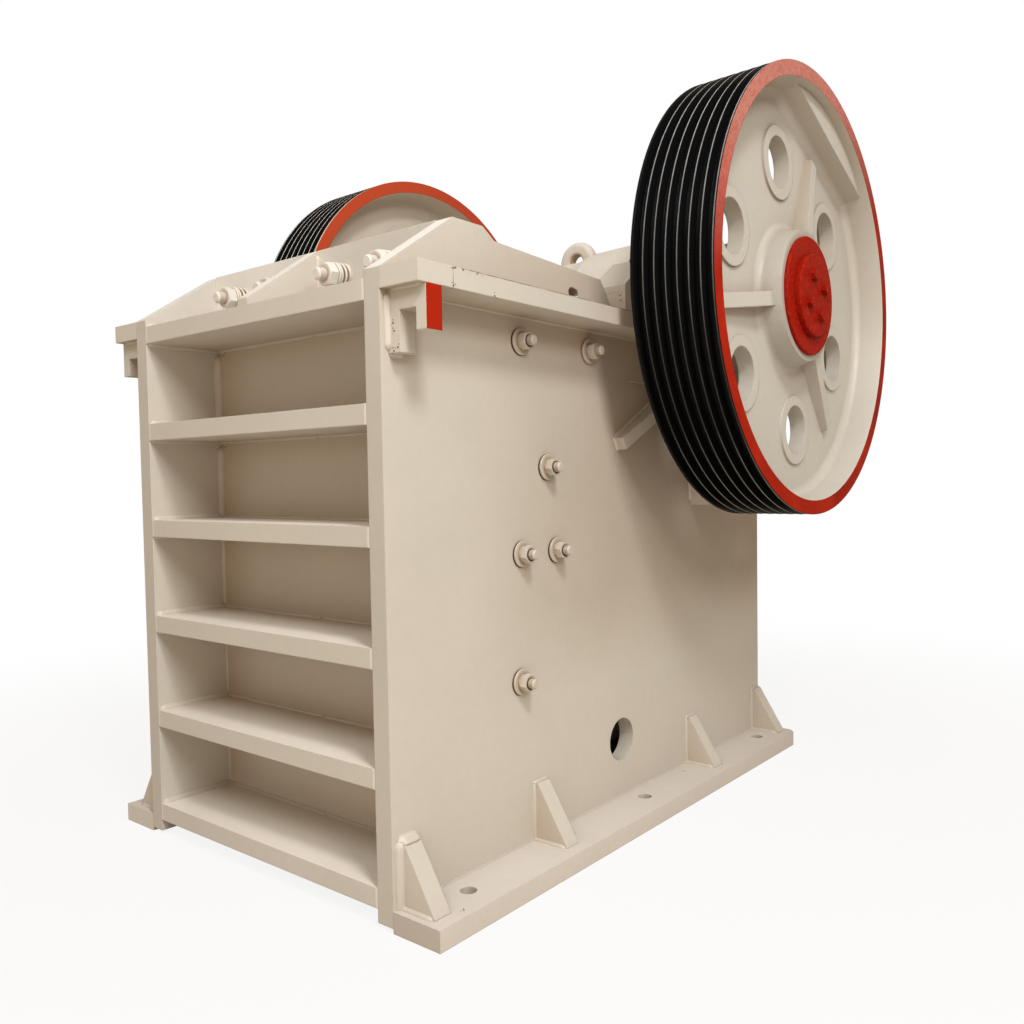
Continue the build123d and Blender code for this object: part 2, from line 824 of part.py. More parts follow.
save(tension_rods, "tension_rods")

# Close-wound springs with ground ends, as solids of their outer shape
coil_span = spring_length - spring_wire
coil_steps = math.ceil(coil_span / (2 * spring_wire * spring_closeness))
with BuildPart() as tension_springs:
    for side in (1, -1):
        spring_foot = rod_point(spring_start) + Vector(side * rod_place, 0, 0)
        with BuildSketch(Plane(origin=spring_foot, x_dir=rod_ahead, z_dir=(1, 0, 0))):
            for index in range(coil_steps + 1):
                with Locations((spring_wire / 2 + index * coil_span / coil_steps, spring_radius)):
                    Circle(spring_wire)
            with Locations((0, spring_radius)):
                Rectangle(
                    spring_length,
                    2 * spring_wire,
                    align=(Align.MIN, Align.CENTER),
                    mode=Mode.INTERSECT,
                )
        revolve(axis=Axis(spring_foot, rod_ahead))
save(tension_springs, "tension_springs")

# Lifting eye on the waist of the pitman's head, with its hole just clear of the crown
eye_height = eccentric_centre.Z + head_radius + lifting_eye_clearance + lifting_eye_hole
eye_centre = (0, eccentric_centre.Y + lifting_eye_behind, eye_height)
eye_plane = Plane(origin=eye_centre, x_dir=(1, 0, 0), z_dir=(0, -1, 0))
eye_radius = lifting_eye_hole + lifting_eye_wall
with BuildPart() as lifting_eye:
    with BuildSketch(eye_plane):
        Circle(eye_radius)
        Rectangle(2 * eye_radius, 2 * eye_radius, align=(Align.CENTER, Align.MAX))
    extrude(amount=lifting_eye_thickness / 2, both=True)
    fillet(lifting_eye.faces().filter_by(Axis.Y).edges(), lifting_eye_outer_fillet)
    with BuildSketch(eye_plane):
        Circle(lifting_eye_hole)
    extrude(amount=lifting_eye_thickness / 2, both=True, mode=Mode.SUBTRACT)
    hole_edges = lifting_eye.edges().filter_by(GeomType.CIRCLE)
    fillet(hole_edges.filter_by(lambda edge: edge.radius == lifting_eye_hole), lifting_eye_hole_fillet)
    with BuildSketch(side_plane(0)):
        with Locations((eccentric_centre.Y, eccentric_centre.Z)):
            Circle(head_radius + weld_gap)
    extrude(amount=pitman_width, both=True, mode=Mode.SUBTRACT)
save(lifting_eye, "lifting_eye")

# Eccentric shaft: hub seats, bearing journals and the eccentric that carries the pitman
with BuildPart() as eccentric_shaft:
    with BuildSketch(shaft_plane(0)):
        Circle(hub_seat_radius)
    extrude(amount=hub_face, both=True)
    with BuildSketch(shaft_plane(0)):
        Circle(journal_radius)
    extrude(amount=hub_inner - weld_gap, both=True)
    with BuildSketch(side_plane(0)):
        with Locations((eccentric_centre.Y, eccentric_centre.Z)):
            Circle(eccentric_radius)
    extrude(amount=pitman_width / 2, both=True)
save(eccentric_shaft, "eccentric_shaft")

# Flywheels: the counterweight with its sloping foot, then the grooved rim, web with collared holes,
# ribs and hub, cast in one
with BuildPart() as counterweight:
    with BuildSketch(radial_plane(wheel_angle)):
        with BuildLine():
            Polyline(
                (web_face - web_thickness / 2, counterweight_foot - casting_fillet),
                (web_face, counterweight_foot - casting_fillet),
                (web_face, counterweight_foot),
                (wheel_face - counterweight_setback, counterweight_foot + counterweight_slope),
                (wheel_face - counterweight_setback, rim_inner_radius),
                (web_face - web_thickness / 2, rim_inner_radius),
                close=True,
            )
        make_face()
        fillet(vertices().group_by(Axis.Y)[1], casting_fillet)
    extrude(amount=rim_inner_radius, both=True)
    with BuildSketch(shaft_plane(web_back)):
        Circle(rim_inner_radius)
    extrude(amount=wheel_face - web_back, mode=Mode.INTERSECT)

with BuildPart() as flywheel:
    with BuildSketch(radial_plane(wheel_angle)):
        with BuildLine():
            Polyline(
                (hub_inner, hub_seat_radius + weld_gap),
                (hub_inner, hub_radius),
                (web_back, hub_foot_radius),
                (web_back, rim_inner_radius - rim_taper),
                (rim_back, rim_inner_radius),
                (rim_back, wheel_radius),
                (wheel_face, wheel_radius),
                (wheel_face, rim_inner_radius),
                (web_face, rim_inner_radius - rim_taper),
                (web_face, hub_foot_radius),
                (hub_face, hub_radius),
                (hub_face, hub_seat_radius + weld_gap),
                close=True,
            )
        make_face()
        fillet(vertices().filter_by_position(Axis.X, web_back, web_face), casting_fillet)
        groove_first = rim_back + (wheel_width - (groove_count - 1) * groove_pitch) / 2
        for index in range(groove_count):
            groove_x = groove_first + index * groove_pitch
            with BuildLine():
                Polyline(
                    (groove_x - groove_width / 2, wheel_radius),
                    (groove_x - groove_floor / 2, wheel_radius - groove_depth),
                    (groove_x + groove_floor / 2, wheel_radius - groove_depth),
                    (groove_x + groove_width / 2, wheel_radius),
                    close=True,
                )
            make_face(mode=Mode.SUBTRACT)
    revolve(axis=shaft_axis)
    with BuildSketch(shaft_plane(web_back - collar_height, wheel_angle)):
        with PolarLocations(hole_circle, hole_count, start_angle=180 / hole_count):
            Circle(collar_radius)
    extrude(amount=web_thickness + 2 * collar_height)
    for index in range(wheel_rib_count):
        with BuildSketch(radial_plane(wheel_angle + index * 360 / wheel_rib_count)):
            with BuildLine():
                Polyline(
                    (web_face - wheel_rib_tip_height / 2, hub_seat_radius + wheel_rib_shoulder),
                    (hub_face - wheel_rib_shoulder, hub_seat_radius + wheel_rib_shoulder),
                    (hub_face - wheel_rib_shoulder, hub_radius),
                    (web_face + wheel_rib_tip_height, wheel_rib_tip),
                    (web_face - wheel_rib_tip_height / 2, wheel_rib_tip + wheel_rib_tip_height / 2),
                    close=True,
                )
            make_face()
        extrude(amount=wheel_rib_thickness / 2, both=True)
    add(counterweight.part)
    with BuildSketch(shaft_plane(rim_back, wheel_angle)):
        with PolarLocations(hole_circle, hole_count, start_angle=180 / hole_count):
            Circle(hole_radius)
    extrude(amount=wheel_width, mode=Mode.SUBTRACT)
save_pair(flywheel, "flywheel")

# Hub discs and the bolted retaining plates on the ends of the shaft
with BuildPart() as hub_disc:
    with BuildSketch(shaft_plane(hub_face)):
        Circle(hub_disc_radius)
    extrude(amount=hub_disc_thickness)
    chamfer(hub_disc.faces().sort_by(Axis.X)[-1].edges(), disc_chamfer)
save_pair(hub_disc, "hub_disc")

with BuildPart() as retainer:
    with BuildSketch(shaft_plane(retainer_face)):
        Circle(retainer_radius)
    extrude(amount=retainer_thickness)
    chamfer(retainer.faces().sort_by(Axis.X)[-1].edges(), disc_chamfer)
    with BuildSketch(shaft_plane(retainer_face + retainer_thickness)):
        with PolarLocations(retainer_bolt_circle, retainer_bolt_count, start_angle=retainer_bolt_angle):
            RegularPolygon(retainer_bolt_flats / 2, 6, major_radius=False)
    extrude(amount=retainer_bolt_height)
save_pair(retainer, "retainer")
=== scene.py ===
import math

import bmesh
import bpy
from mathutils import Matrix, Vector


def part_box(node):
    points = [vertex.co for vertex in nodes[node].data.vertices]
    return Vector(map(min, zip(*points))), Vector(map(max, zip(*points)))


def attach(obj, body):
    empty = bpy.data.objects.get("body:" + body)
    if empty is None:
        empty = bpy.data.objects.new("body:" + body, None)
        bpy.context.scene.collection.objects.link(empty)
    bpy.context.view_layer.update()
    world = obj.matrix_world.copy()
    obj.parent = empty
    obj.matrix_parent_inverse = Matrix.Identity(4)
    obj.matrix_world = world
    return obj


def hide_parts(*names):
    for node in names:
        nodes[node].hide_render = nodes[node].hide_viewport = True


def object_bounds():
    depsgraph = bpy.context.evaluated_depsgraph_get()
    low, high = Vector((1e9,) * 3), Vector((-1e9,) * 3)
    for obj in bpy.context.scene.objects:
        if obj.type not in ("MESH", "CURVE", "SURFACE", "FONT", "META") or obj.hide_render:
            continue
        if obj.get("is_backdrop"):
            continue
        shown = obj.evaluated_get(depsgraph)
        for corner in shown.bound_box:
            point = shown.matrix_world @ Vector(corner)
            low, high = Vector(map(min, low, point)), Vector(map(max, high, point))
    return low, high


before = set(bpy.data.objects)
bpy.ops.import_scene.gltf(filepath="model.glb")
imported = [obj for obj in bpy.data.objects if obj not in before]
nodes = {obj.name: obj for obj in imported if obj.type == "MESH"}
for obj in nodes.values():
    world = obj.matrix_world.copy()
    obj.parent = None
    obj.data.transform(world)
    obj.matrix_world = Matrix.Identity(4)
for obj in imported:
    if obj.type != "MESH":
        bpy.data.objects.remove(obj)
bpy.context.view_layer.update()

# The camera stands off the machine's front right corner, a little above the third shelf from the
# top. Its place, turn, lens and shift come from the vanishing lines of the plates.
camera_data = bpy.data.cameras.new("camera")
camera_data.lens = 32.07
camera_data.sensor_width = 36
camera_data.shift_x = -0.02148
camera_data.shift_y = 0.00835
camera = bpy.data.objects.new("camera", camera_data)
camera.location = (2.19984, -2.61714, 1.10565)
camera.rotation_euler = (math.radians(87.43719), math.radians(0.87361), math.radians(38.41053))
bpy.context.scene.collection.objects.link(camera)
bpy.context.scene.camera = camera

# The studio: a pale floor that fades into a white surround, two soft lamps high off the right side,
# one high in front, a wide low one ahead, and an even sky for the rest.
bpy.context.scene.view_settings.view_transform = "Standard"
sky_strength = 0.42
sky_tone = (1, 0.81, 0.61, 1)
floor_tone = (0.66, 0.61, 0.54, 1)
floor_reach = 30
shadow_half_width, shadow_half_length = 0.50, 0.93


def join(tree, *pairs):
    """Links each pair of sockets."""
    for source, target in pairs:
        tree.links.new(source, target)


def fill(tree, socket, value):
    """Links a socket to an input, or sets the input to a number."""
    if isinstance(value, bpy.types.NodeSocket):
        tree.links.new(value, socket)
    else:
        socket.default_value = value


def add(tree, kind, settings=None, **values):
    """A node with its settings, and its inputs set to numbers or linked; _ stands for a space."""
    node = tree.nodes.new(kind)
    for label, value in (settings or {}).items():
        setattr(node, label, value)
    for label, value in values.items():
        fill(tree, node.inputs[label.replace("_", " ")], value)
    return node


def sums(tree, operation, *terms, clamp=False):
    """A math node on sockets or numbers."""
    node = add(tree, "ShaderNodeMath", {"operation": operation, "use_clamp": clamp})
    for socket, value in zip(node.inputs, terms):
        fill(tree, socket, value)
    return node.outputs[0]


def product(tree, *terms, clamp=False):
    """Multiplies sockets or numbers, and clamps the end result if asked."""
    whole = terms[0]
    for term in terms[1:-1]:
        whole = sums(tree, "MULTIPLY", whole, term)
    return sums(tree, "MULTIPLY", whole, terms[-1], clamp=clamp)


world = bpy.data.worlds.new("surround")
bpy.context.scene.world = world
world.use_nodes = True
sky = world.node_tree
sky_light = sky.nodes["Background"]
sky_light.inputs["Strength"].default_value = sky_strength
sky_light.inputs["Color"].default_value = sky_tone
sky_seen = add(sky, "ShaderNodeBackground", Color=(1, 1, 1, 1))
rays = add(sky, "ShaderNodeLightPath").outputs
direct = sums(sky, "MAXIMUM", rays["Is Camera Ray"], rays["Is Transmission Ray"])
sky_mix = add(sky, "ShaderNodeMixShader", Fac=direct)
join(
    sky,
    (sky_light.outputs[0], sky_mix.inputs[1]),
    (sky_seen.outputs[0], sky_mix.inputs[2]),
    (sky_mix.outputs[0], sky.nodes["World Output"].inputs["Surface"]),
)

floor_paint = bpy.data.materials.new("studio_floor")
floor_paint.use_nodes = True
tree = floor_paint.node_tree
matt = tree.nodes["Principled BSDF"]
matt.inputs["Base Color"].default_value = floor_tone
matt.inputs["Roughness"].default_value = 0.9
glow = add(tree, "ShaderNodeEmission")
spot = add(tree, "ShaderNodeTexCoord").outputs["Object"]
distance = add(tree, "ShaderNodeVectorMath", {"operation": "LENGTH"})
corner = add(tree, "ShaderNodeVectorMath", {"operation": "ABSOLUTE"})
join(tree, (spot, distance.inputs[0]), (spot, corner.inputs[0]))
away = add(tree, "ShaderNodeSeparateXYZ", Vector=corner.outputs["Vector"]).outputs
beside = sums(tree, "GREATER_THAN", away["X"], shadow_half_width)
ahead = sums(tree, "GREATER_THAN", away["Y"], shadow_half_length)
fade = add(
    tree, "ShaderNodeMapRange", {"interpolation_type": "SMOOTHSTEP"},
    Value=distance.outputs["Value"], From_Min=1.2, From_Max=4.5, To_Min=0.88, To_Max=1,
)
direct = add(tree, "ShaderNodeLightPath").outputs["Is Camera Ray"]
seen = product(tree, fade.outputs["Result"], sums(tree, "MAXIMUM", beside, ahead), direct)
blend = add(tree, "ShaderNodeMixShader", Fac=seen)
join(
    tree,
    (matt.outputs[0], blend.inputs[1]),
    (glow.outputs[0], blend.inputs[2]),
    (blend.outputs[0], tree.nodes["Material Output"].inputs["Surface"]),
)
floor_mesh = bpy.data.meshes.new("studio_floor")
corners = ((-1, -1), (1, -1), (1, 1), (-1, 1))
corners = [(x * floor_reach, y * floor_reach, 0) for x, y in corners]
floor_mesh.from_pydata(corners, [], [(0, 1, 2, 3)])
floor_mesh.materials.append(floor_paint)
floor = bpy.data.objects.new("studio_floor", floor_mesh)
bpy.context.scene.collection.objects.link(floor)
floor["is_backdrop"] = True


def hang_lamp(name, place, aim, size, watts, tone=(1, 1, 1)):
    """A square soft lamp at a place, turned to shine at a point."""
    data = bpy.data.lights.new(name, "AREA")
    data.shape = "SQUARE"
    data.size = size
    data.energy = watts
    data.color = tone
    lamp = bpy.data.objects.new(name, data)
    lamp.location = place
    lamp.rotation_euler = (Vector(aim) - Vector(place)).to_track_quat("-Z", "Y").to_euler()
    bpy.context.scene.collection.objects.link(lamp)


hang_lamp("side_lamp", (5.0, -2.6, 3.8), (0.5, -0.3, 0.9), 1.3, 100)
hang_lamp("top_lamp", (3.5, -2.4, 5.1), (0.3, -0.2, 1.0), 0.9, 146)
hang_lamp("front_lamp", (1.3, -4.15, 5.0), (0, -0.8, 0.9), 1.6, 84)
hang_lamp("low_lamp", (3.2, -5.8, 1.0), (0, -0.6, 0.9), 3.2, 38, (1, 0.89, 0.76))

# Foot flanges and gussets: flame-cut plate drilled for the anchor bolts, with triangular gussets to
# the side walls. All seams are filled, ground and sprayed over with the cream topcoat of the frame.
cream = (0.585, 0.548, 0.48, 1)
cream_shade = (0.34, 0.215, 0.115, 1)
primer = (0.06, 0.035, 0.022, 1)
foot_tone = (0.63, 0.59, 0.54, 1)
foot_front_shade_tone = (0.48, 0.437, 0.384, 1)
gusset_middles = (-1.075, -0.542, 0.359, 0.913)
gusset_half = 0.028
gusset_reach = 0.112
gusset_legs = (0.018, 0.009, 0.009, 0.009)
gusset_foot_leg = 0.010
foot_leg = 0.005


def span(tree, value, low, high, bottom=0, top=1):
    """Maps low to high onto bottom to top, and holds the ends."""
    limits = {"From_Min": low, "From_Max": high, "To_Min": bottom, "To_Max": top}
    return add(tree, "ShaderNodeMapRange", Value=value, **limits).outputs["Result"]


def place_of(tree):
    """X, Y and Z in the object's own coordinates."""
    spot = add(tree, "ShaderNodeTexCoord").outputs["Object"]
    return add(tree, "ShaderNodeSeparateXYZ", Vector=spot).outputs


def facing_of(tree):
    """X, Y and Z of the way the surface faces."""
    normal = add(tree, "ShaderNodeNewGeometry").outputs["Normal"]
    return add(tree, "ShaderNodeSeparateXYZ", Vector=normal).outputs


def grain(tree, scale, detail=3, roughness=0.5):
    """Noise on the object's own coordinates."""
    spot = add(tree, "ShaderNodeTexCoord").outputs["Object"]
    values = {"Scale": scale, "Detail": detail, "Roughness": roughness}
    return add(tree, "ShaderNodeTexNoise", Vector=spot, **values).outputs["Fac"]


def tint(tree, factor, first, second, mode="MIX"):
    """Mixes two colours."""
    node = add(tree, "ShaderNodeMix", {"data_type": "RGBA", "blend_type": mode})
    for index, value in ((0, factor), (6, first), (7, second)):
        fill(tree, node.inputs[index], value)
    return node.outputs[2]


def soft_edge(tree, radius):
    """The normal with its edges rounded, and how far that turns it."""
    rounded = add(tree, "ShaderNodeBevel", {"samples": 4}, Radius=radius).outputs["Normal"]
    turned = add(tree, "ShaderNodeVectorMath", {"operation": "DOT_PRODUCT"})
    flat = add(tree, "ShaderNodeNewGeometry").outputs["Normal"]
    join(tree, (rounded, turned.inputs[0]), (flat, turned.inputs[1]))
    return rounded, turned.outputs["Value"]


def new_group(name, kind, inputs, outputs):
    """An empty node group of a kind, with its inputs (kind and default) and outputs."""
    group = bpy.data.node_groups.new(name, kind + "NodeTree")
    for label, holds, value in inputs:
        socket = group.interface.new_socket(label, in_out="INPUT", socket_type="NodeSocket" + holds)
        if value is not None:
            socket.default_value = value
    for label, holds in outputs:
        group.interface.new_socket(label, in_out="OUTPUT", socket_type="NodeSocket" + holds)
    ends = group.nodes.new("NodeGroupInput"), group.nodes.new("NodeGroupOutput")
    return group, ends[0].outputs, ends[1].inputs


# How a sprayed coat ages: it chips to the primer along edges and is a little mottled, with the
# skin of the rolled plate or the sand mould under it. Corners and hollows are painted a warm
# brown as painted shade.
coat, coat_in, coat_out = new_group(
    "coat_wear",
    "Shader",
    [
        ("Paint", "Color", cream),
        ("Shade", "Color", cream_shade),
        ("Primer", "Color", primer),
        ("Edge", "Float", 0.004),
        ("Chips", "Float", 0.5),
        ("Dust", "Float", 0.48),
        ("Reach", "Float", 0.20),
        ("Relief", "Float", 0.0003),
        ("Grain", "Float", 90),
        ("Gloss", "Float", 0.42),
    ],
    [("Color", "Color"), ("Roughness", "Float"), ("Normal", "Vector")],
)
rounded, turned = soft_edge(coat, coat_in["Edge"])
ragged = span(coat, grain(coat, 42, 6, 0.7), 0.63, 0.67)
chips = product(coat, span(coat, turned, 0.97, 0.86), ragged, coat_in["Chips"], clamp=True)
# Painted shade: ambient occlusion mixes the Shade colour into corners and hollows.
hollow_shade = add(coat, "ShaderNodeAmbientOcclusion", {"samples": 5}, Distance=coat_in["Reach"])
hollow_shade = product(
    coat,
    span(coat, hollow_shade.outputs["AO"], 0.92, 0.2),
    span(coat, grain(coat, 4, 4), 0.25, 0.75, 0.85, 1.1),
    coat_in["Dust"],
    clamp=True,
)
broad = span(coat, grain(coat, 1.7, 4), 0.3, 0.7, 0.95, 1.02)
mottle = product(coat, broad, span(coat, grain(coat, 38, 3), 0.3, 0.7, 0.985, 1.015))
tone = tint(coat, 1.0, coat_in["Paint"], mottle, "MULTIPLY")
tone = tint(coat, hollow_shade, tone, coat_in["Shade"])
tone = tint(coat, chips, tone, coat_in["Primer"])
gloss = product(coat, coat_in["Gloss"], span(coat, grain(coat, 9, 4), 0.3, 0.7, 0.9, 1.15))
gloss = sums(coat, "ADD", gloss, product(coat, hollow_shade, 0.2), clamp=True)
skin = grain(coat, coat_in["Grain"], 3)
skin = add(coat, "ShaderNodeBump", Distance=coat_in["Relief"], Height=skin, Normal=rounded)
join(coat, (tone, coat_out["Color"]), (gloss, coat_out["Roughness"]))
join(coat, (skin.outputs[0], coat_out["Normal"]))


def worn(name, group, values):
    """A material whose wear group, with its own amounts, feeds the sockets of the shader."""
    material = bpy.data.materials.new(name)
    material.use_nodes = True
    tree = material.node_tree
    wear = add(tree, "ShaderNodeGroup", {"node_tree": group, "name": "wear"}, **values)
    shader = tree.nodes["Principled BSDF"]
    for output in wear.outputs:
        target = "Base Color" if output.name == "Color" else output.name
        join(tree, (output, shader.inputs[target]))
    return material


def painted(name, shine=0.5, **values):
    """A painted steel with its own amounts of wear."""
    material = worn(name, coat, values)
    shader = material.node_tree.nodes["Principled BSDF"]
    shader.inputs["Specular IOR Level"].default_value = shine
    return material


def set_wear(tree, label, value):
    """Feeds one input of a paint's wear."""
    join(tree, (value, tree.nodes["wear"].inputs[label]))


def dress(material, *names):
    """Puts a material in the slots of CAD nodes."""
    for name in names:
        for slot in nodes[name].material_slots:
            slot.link = "OBJECT"
            slot.material = material


def result(tree, kind, settings=None, **values):
    """The first output of a new node."""
    return add(tree, kind, settings, **values).outputs[0]


def stored(tree, name, kind="FLOAT_VECTOR"):
    """A value kept on the points of the starting mesh."""
    return result(tree, "GeometryNodeInputNamedAttribute", {"data_type": kind}, Name=name)


def hand_over(tree, shape, finish, outputs):
    """Ends a geometry tree with real geometry in its finish."""
    shape = result(tree, "GeometryNodeRealizeInstances", Geometry=shape)
    shape = result(tree, "GeometryNodeSetMaterial", Geometry=shape, Material=finish)
    join(tree, (shape, outputs["Geometry"]))


def make(name, start, tree, body, slot, **amounts):
    """Runs a node tree over a mesh, keeps the result as a plain mesh and hangs it on a body."""
    piece = bpy.data.objects.new(name, start)
    bpy.context.scene.collection.objects.link(piece)
    modifier = piece.modifiers.new(name, "NODES")
    modifier.node_group = tree
    for item in tree.interface.items_tree:
        label = item.name.replace(" ", "_")
        if item.in_out == "INPUT" and label in amounts:
            modifier[item.identifier] = amounts[label]
    evaluated = piece.evaluated_get(bpy.context.evaluated_depsgraph_get())
    mesh = bpy.data.meshes.new_from_object(evaluated)
    piece.modifiers.remove(modifier)
    piece.data = mesh
    mesh.name = name
    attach(piece, body)
    return piece


# One run of weld: a flat, slightly bulged fillet in a corner, with its toes blended into both
# plates. It runs out round at its ends and its skin is a little uneven.
bead_tree, bead_in, bead_out = new_group(
    "weld_bead",
    "Geometry",
    [
        ("Geometry", "Geometry", None),
        ("Section", "Object", None),
        ("Spacing", "Float", 0.008),
        ("Unevenness", "Float", 0.0016),
        ("Seed", "Int", 3),
        ("Paint", "Material", None),
    ],
    [("Geometry", "Geometry")],
)
run = result(bead_tree, "GeometryNodeMeshToCurve", Mesh=bead_in["Geometry"])
spacing = {"mode": "LENGTH"}
run = result(bead_tree, "GeometryNodeResampleCurve", spacing, Curve=run, Length=bead_in["Spacing"])
crown = stored(bead_tree, "crown")
run = result(bead_tree, "GeometryNodeSetCurveNormal", {"mode": "FREE"}, Curve=run, Normal=crown)
leg_size = stored(bead_tree, "leg", "FLOAT")
from_start = add(bead_tree, "GeometryNodeSplineParameter").outputs["Length"]
length = add(bead_tree, "GeometryNodeSplineLength").outputs["Length"]
from_end = sums(bead_tree, "MINIMUM", from_start, sums(bead_tree, "SUBTRACT", length, from_start))
legs_in = sums(bead_tree, "DIVIDE", from_end, leg_size)
bare_end = sums(bead_tree, "SUBTRACT", 1, legs_in, clamp=True)
swell = sums(bead_tree, "SUBTRACT", 1.01, product(bead_tree, bare_end, bare_end))
thick = product(bead_tree, leg_size, sums(bead_tree, "SQRT", swell))
section = add(bead_tree, "GeometryNodeObjectInfo", Object=bead_in["Section"]).outputs["Geometry"]
section = result(bead_tree, "GeometryNodeMeshToCurve", Mesh=section)
tube = result(
    bead_tree, "GeometryNodeCurveToMesh",
    Curve=run, Profile_Curve=section, Scale=thick, Fill_Caps=True,
)
lumps = add(
    bead_tree, "ShaderNodeTexNoise", {"noise_dimensions": "4D"}, W=bead_in["Seed"], Scale=38.0
)
lumps = sums(bead_tree, "SUBTRACT", lumps.outputs["Fac"], 0.5)
lumps = product(bead_tree, lumps, bead_in["Unevenness"])
push = add(bead_tree, "ShaderNodeVectorMath", {"operation": "SCALE"}, Scale=lumps)
join(bead_tree, (result(bead_tree, "GeometryNodeInputNormal"), push.inputs[0]))
tube = result(bead_tree, "GeometryNodeSetPosition", Geometry=tube, Offset=push.outputs[0])
tube = result(bead_tree, "GeometryNodeSetShadeSmooth", Geometry=tube)
hand_over(bead_tree, tube, bead_in["Paint"], bead_out)

bulge_radius = 1.18
bulge_top = 0.80
bead_points = [(-0.12, 0), (0.40, -0.56)]
for step in range(9):
    turn = math.radians(-40 + 10 * step)
    across = bulge_top - bulge_radius * (1 - math.cos(turn))
    bead_points.append((across, bulge_radius * math.sin(turn)))
bead_points.append((0.40, 0.56))
bead_mesh = bpy.data.meshes.new("bead_section")
sides = [(index, (index + 1) % len(bead_points)) for index in range(len(bead_points))]
bead_mesh.from_pydata([(x, y, 0) for x, y in bead_points], sides, [])
bead_section = bpy.data.objects.new("bead_section", bead_mesh)


def straight(x, y, z, into, leg):
    """A run of weld along one axis: the measure given as a pair holds its two ends."""
    pairs = [value if isinstance(value, tuple) else (value, value) for value in (x, y, z)]
    start, end = zip(*pairs)
    return start, end, into, leg


def weld(name, runs):
    """Lays runs of weld on both sides, each from start to end, with the way into its corner."""
    lines = bmesh.new()
    leg_layer = lines.verts.layers.float.new("leg")
    crown_layer = lines.verts.layers.float_vector.new("crown")
    for side in (1, -1):
        for start, end, into, leg in runs:
            pair = []
            for x, y, z in (start, end):
                pair.append(lines.verts.new((x * side, y, z)))
                pair[-1][leg_layer] = leg
                pair[-1][crown_layer] = -Vector((into[0] * side, into[1], into[2])).normalized()
            lines.edges.new(pair)
    mesh = bpy.data.meshes.new(name)
    lines.to_mesh(mesh)
    lines.free()
    make(name, mesh, bead_tree, "frame", "frame_paint", Section=bead_section, Paint=weld_paint)


frame_paint = painted("frame_paint")
weld_paint = painted("weld_paint", Relief=0.0007, Grain=45, Edge=0.003)
foot_paint = painted("foot_paint", Chips=0.9, Dust=0.22, Reach=0.10)
tree = foot_paint.node_tree
# Painted shade: the right foot's faces towards the front are painted darker.
to_front = span(tree, facing_of(tree)["Y"], -0.5, -0.9)
right_front_shade = product(tree, to_front, span(tree, place_of(tree)["X"], -0.01, 0.01))
set_wear(tree, "Paint", tint(tree, right_front_shade, foot_tone, foot_front_shade_tone))
dress(foot_paint, "base_flange_right", "base_flange_left")
dress(frame_paint, "base_gussets_right", "base_gussets_left")

(wall_back, wall_front, _), (wall_face, wall_rear, _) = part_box("side_wall_right")
foot_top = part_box("base_flange_right")[1][2]
gusset_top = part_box("base_gussets_right")[1][2]
foot_line = (wall_front + 0.01, wall_rear - 0.01)
runs = [straight(wall_face, foot_line, foot_top, (-1, 0, -1), foot_leg)]
for middle, widest in zip(gusset_middles, gusset_legs):
    for side in (-1, 1):
        edge = middle + side * gusset_half
        leg = min(widest, abs(edge - wall_front) - 0.003, abs(wall_rear - edge) - 0.002)
        upright = (foot_top - 0.02, gusset_top + 0.004)
        runs.append(straight(wall_face, edge, upright, (-1, -side, 0), leg))
        outward = (wall_face - 0.02, wall_face + gusset_reach)
        runs.append(straight(outward, edge, foot_top, (0, -side, -1), min(leg, gusset_foot_leg)))
    low, high = middle - gusset_half - 0.008, middle + gusset_half + 0.008
    runs.append(straight(wall_face, (low, high), gusset_top, (-1, 0, -1), widest * 0.9))
    second_x, second_pass = wall_face + 0.009, (low + 0.004, high - 0.004)
    runs.append(straight(second_x, second_pass, gusset_top - 0.005, (-1, 0, -1), widest * 0.75))
weld("foot_welds", runs)

# Side walls: one plate a side with the raised crest, flame cut, primed and sprayed cream. Six studs
# with a plate washer and a nut hold the cheek plates inside each wall.
crest_inside_light_tone = (0.59, 0.56, 0.51, 1)
wall_shadow_tone = (0.47, 0.405, 0.325, 1)
front_face_shade_tone = (0.525, 0.488, 0.427, 1)
lit_top_tone = (0.74, 0.725, 0.685, 1)
slot_shadow_tone = (0.055, 0.035, 0.022, 1)
slot_middle, slot_halves = (-0.344, 1.671), (0.024, 0.0165)
crest_foot = 1.60
stud_places = (
    (-0.605, 1.4955), (-0.270, 1.5005), (-0.490, 1.142),
    (-0.612, 0.895), (-0.449, 0.896), (-0.623, 0.530),
)
tight_stud = stud_places[1]


def squared_reach(tree, place, middle, halves=(1, 1)):
    """The square of the distance in Y and Z from a middle, counted in half widths."""
    squares = []
    for axis, centre, half in zip("YZ", middle, halves):
        off = sums(tree, "DIVIDE", sums(tree, "SUBTRACT", place[axis], centre), half)
        squares.append(sums(tree, "POWER", off, 2))
    return sums(tree, "ADD", *squares)


wall_paint = painted("wall_paint")
tree = wall_paint.node_tree
place = place_of(tree)
outside = span(tree, sums(tree, "ABSOLUTE", place["X"]), 0.52, 0.55)
# Painted shadow: the outer faces are painted browner from the front towards the rear, above the
# lowest part, for the flywheel's shadow.
wall_shadow = product(
    tree,
    outside,
    span(tree, place["Y"], -0.85, -0.15, 0, 0.9),
    span(tree, place["Z"], 0.45, 0.75),
    span(tree, grain(tree, 3, 3), 0.3, 0.7, 0.85, 1.1),
    clamp=True,
)
inside = sums(tree, "SUBTRACT", 1, outside)
# Painted light: the inner faces of the crests are painted paler.
lit_crest_inside = product(tree, inside, span(tree, place["Z"], crest_foot, crest_foot + 0.04))
tone = tint(tree, lit_crest_inside, cream, crest_inside_light_tone)
tone = tint(tree, wall_shadow, tone, wall_shadow_tone)
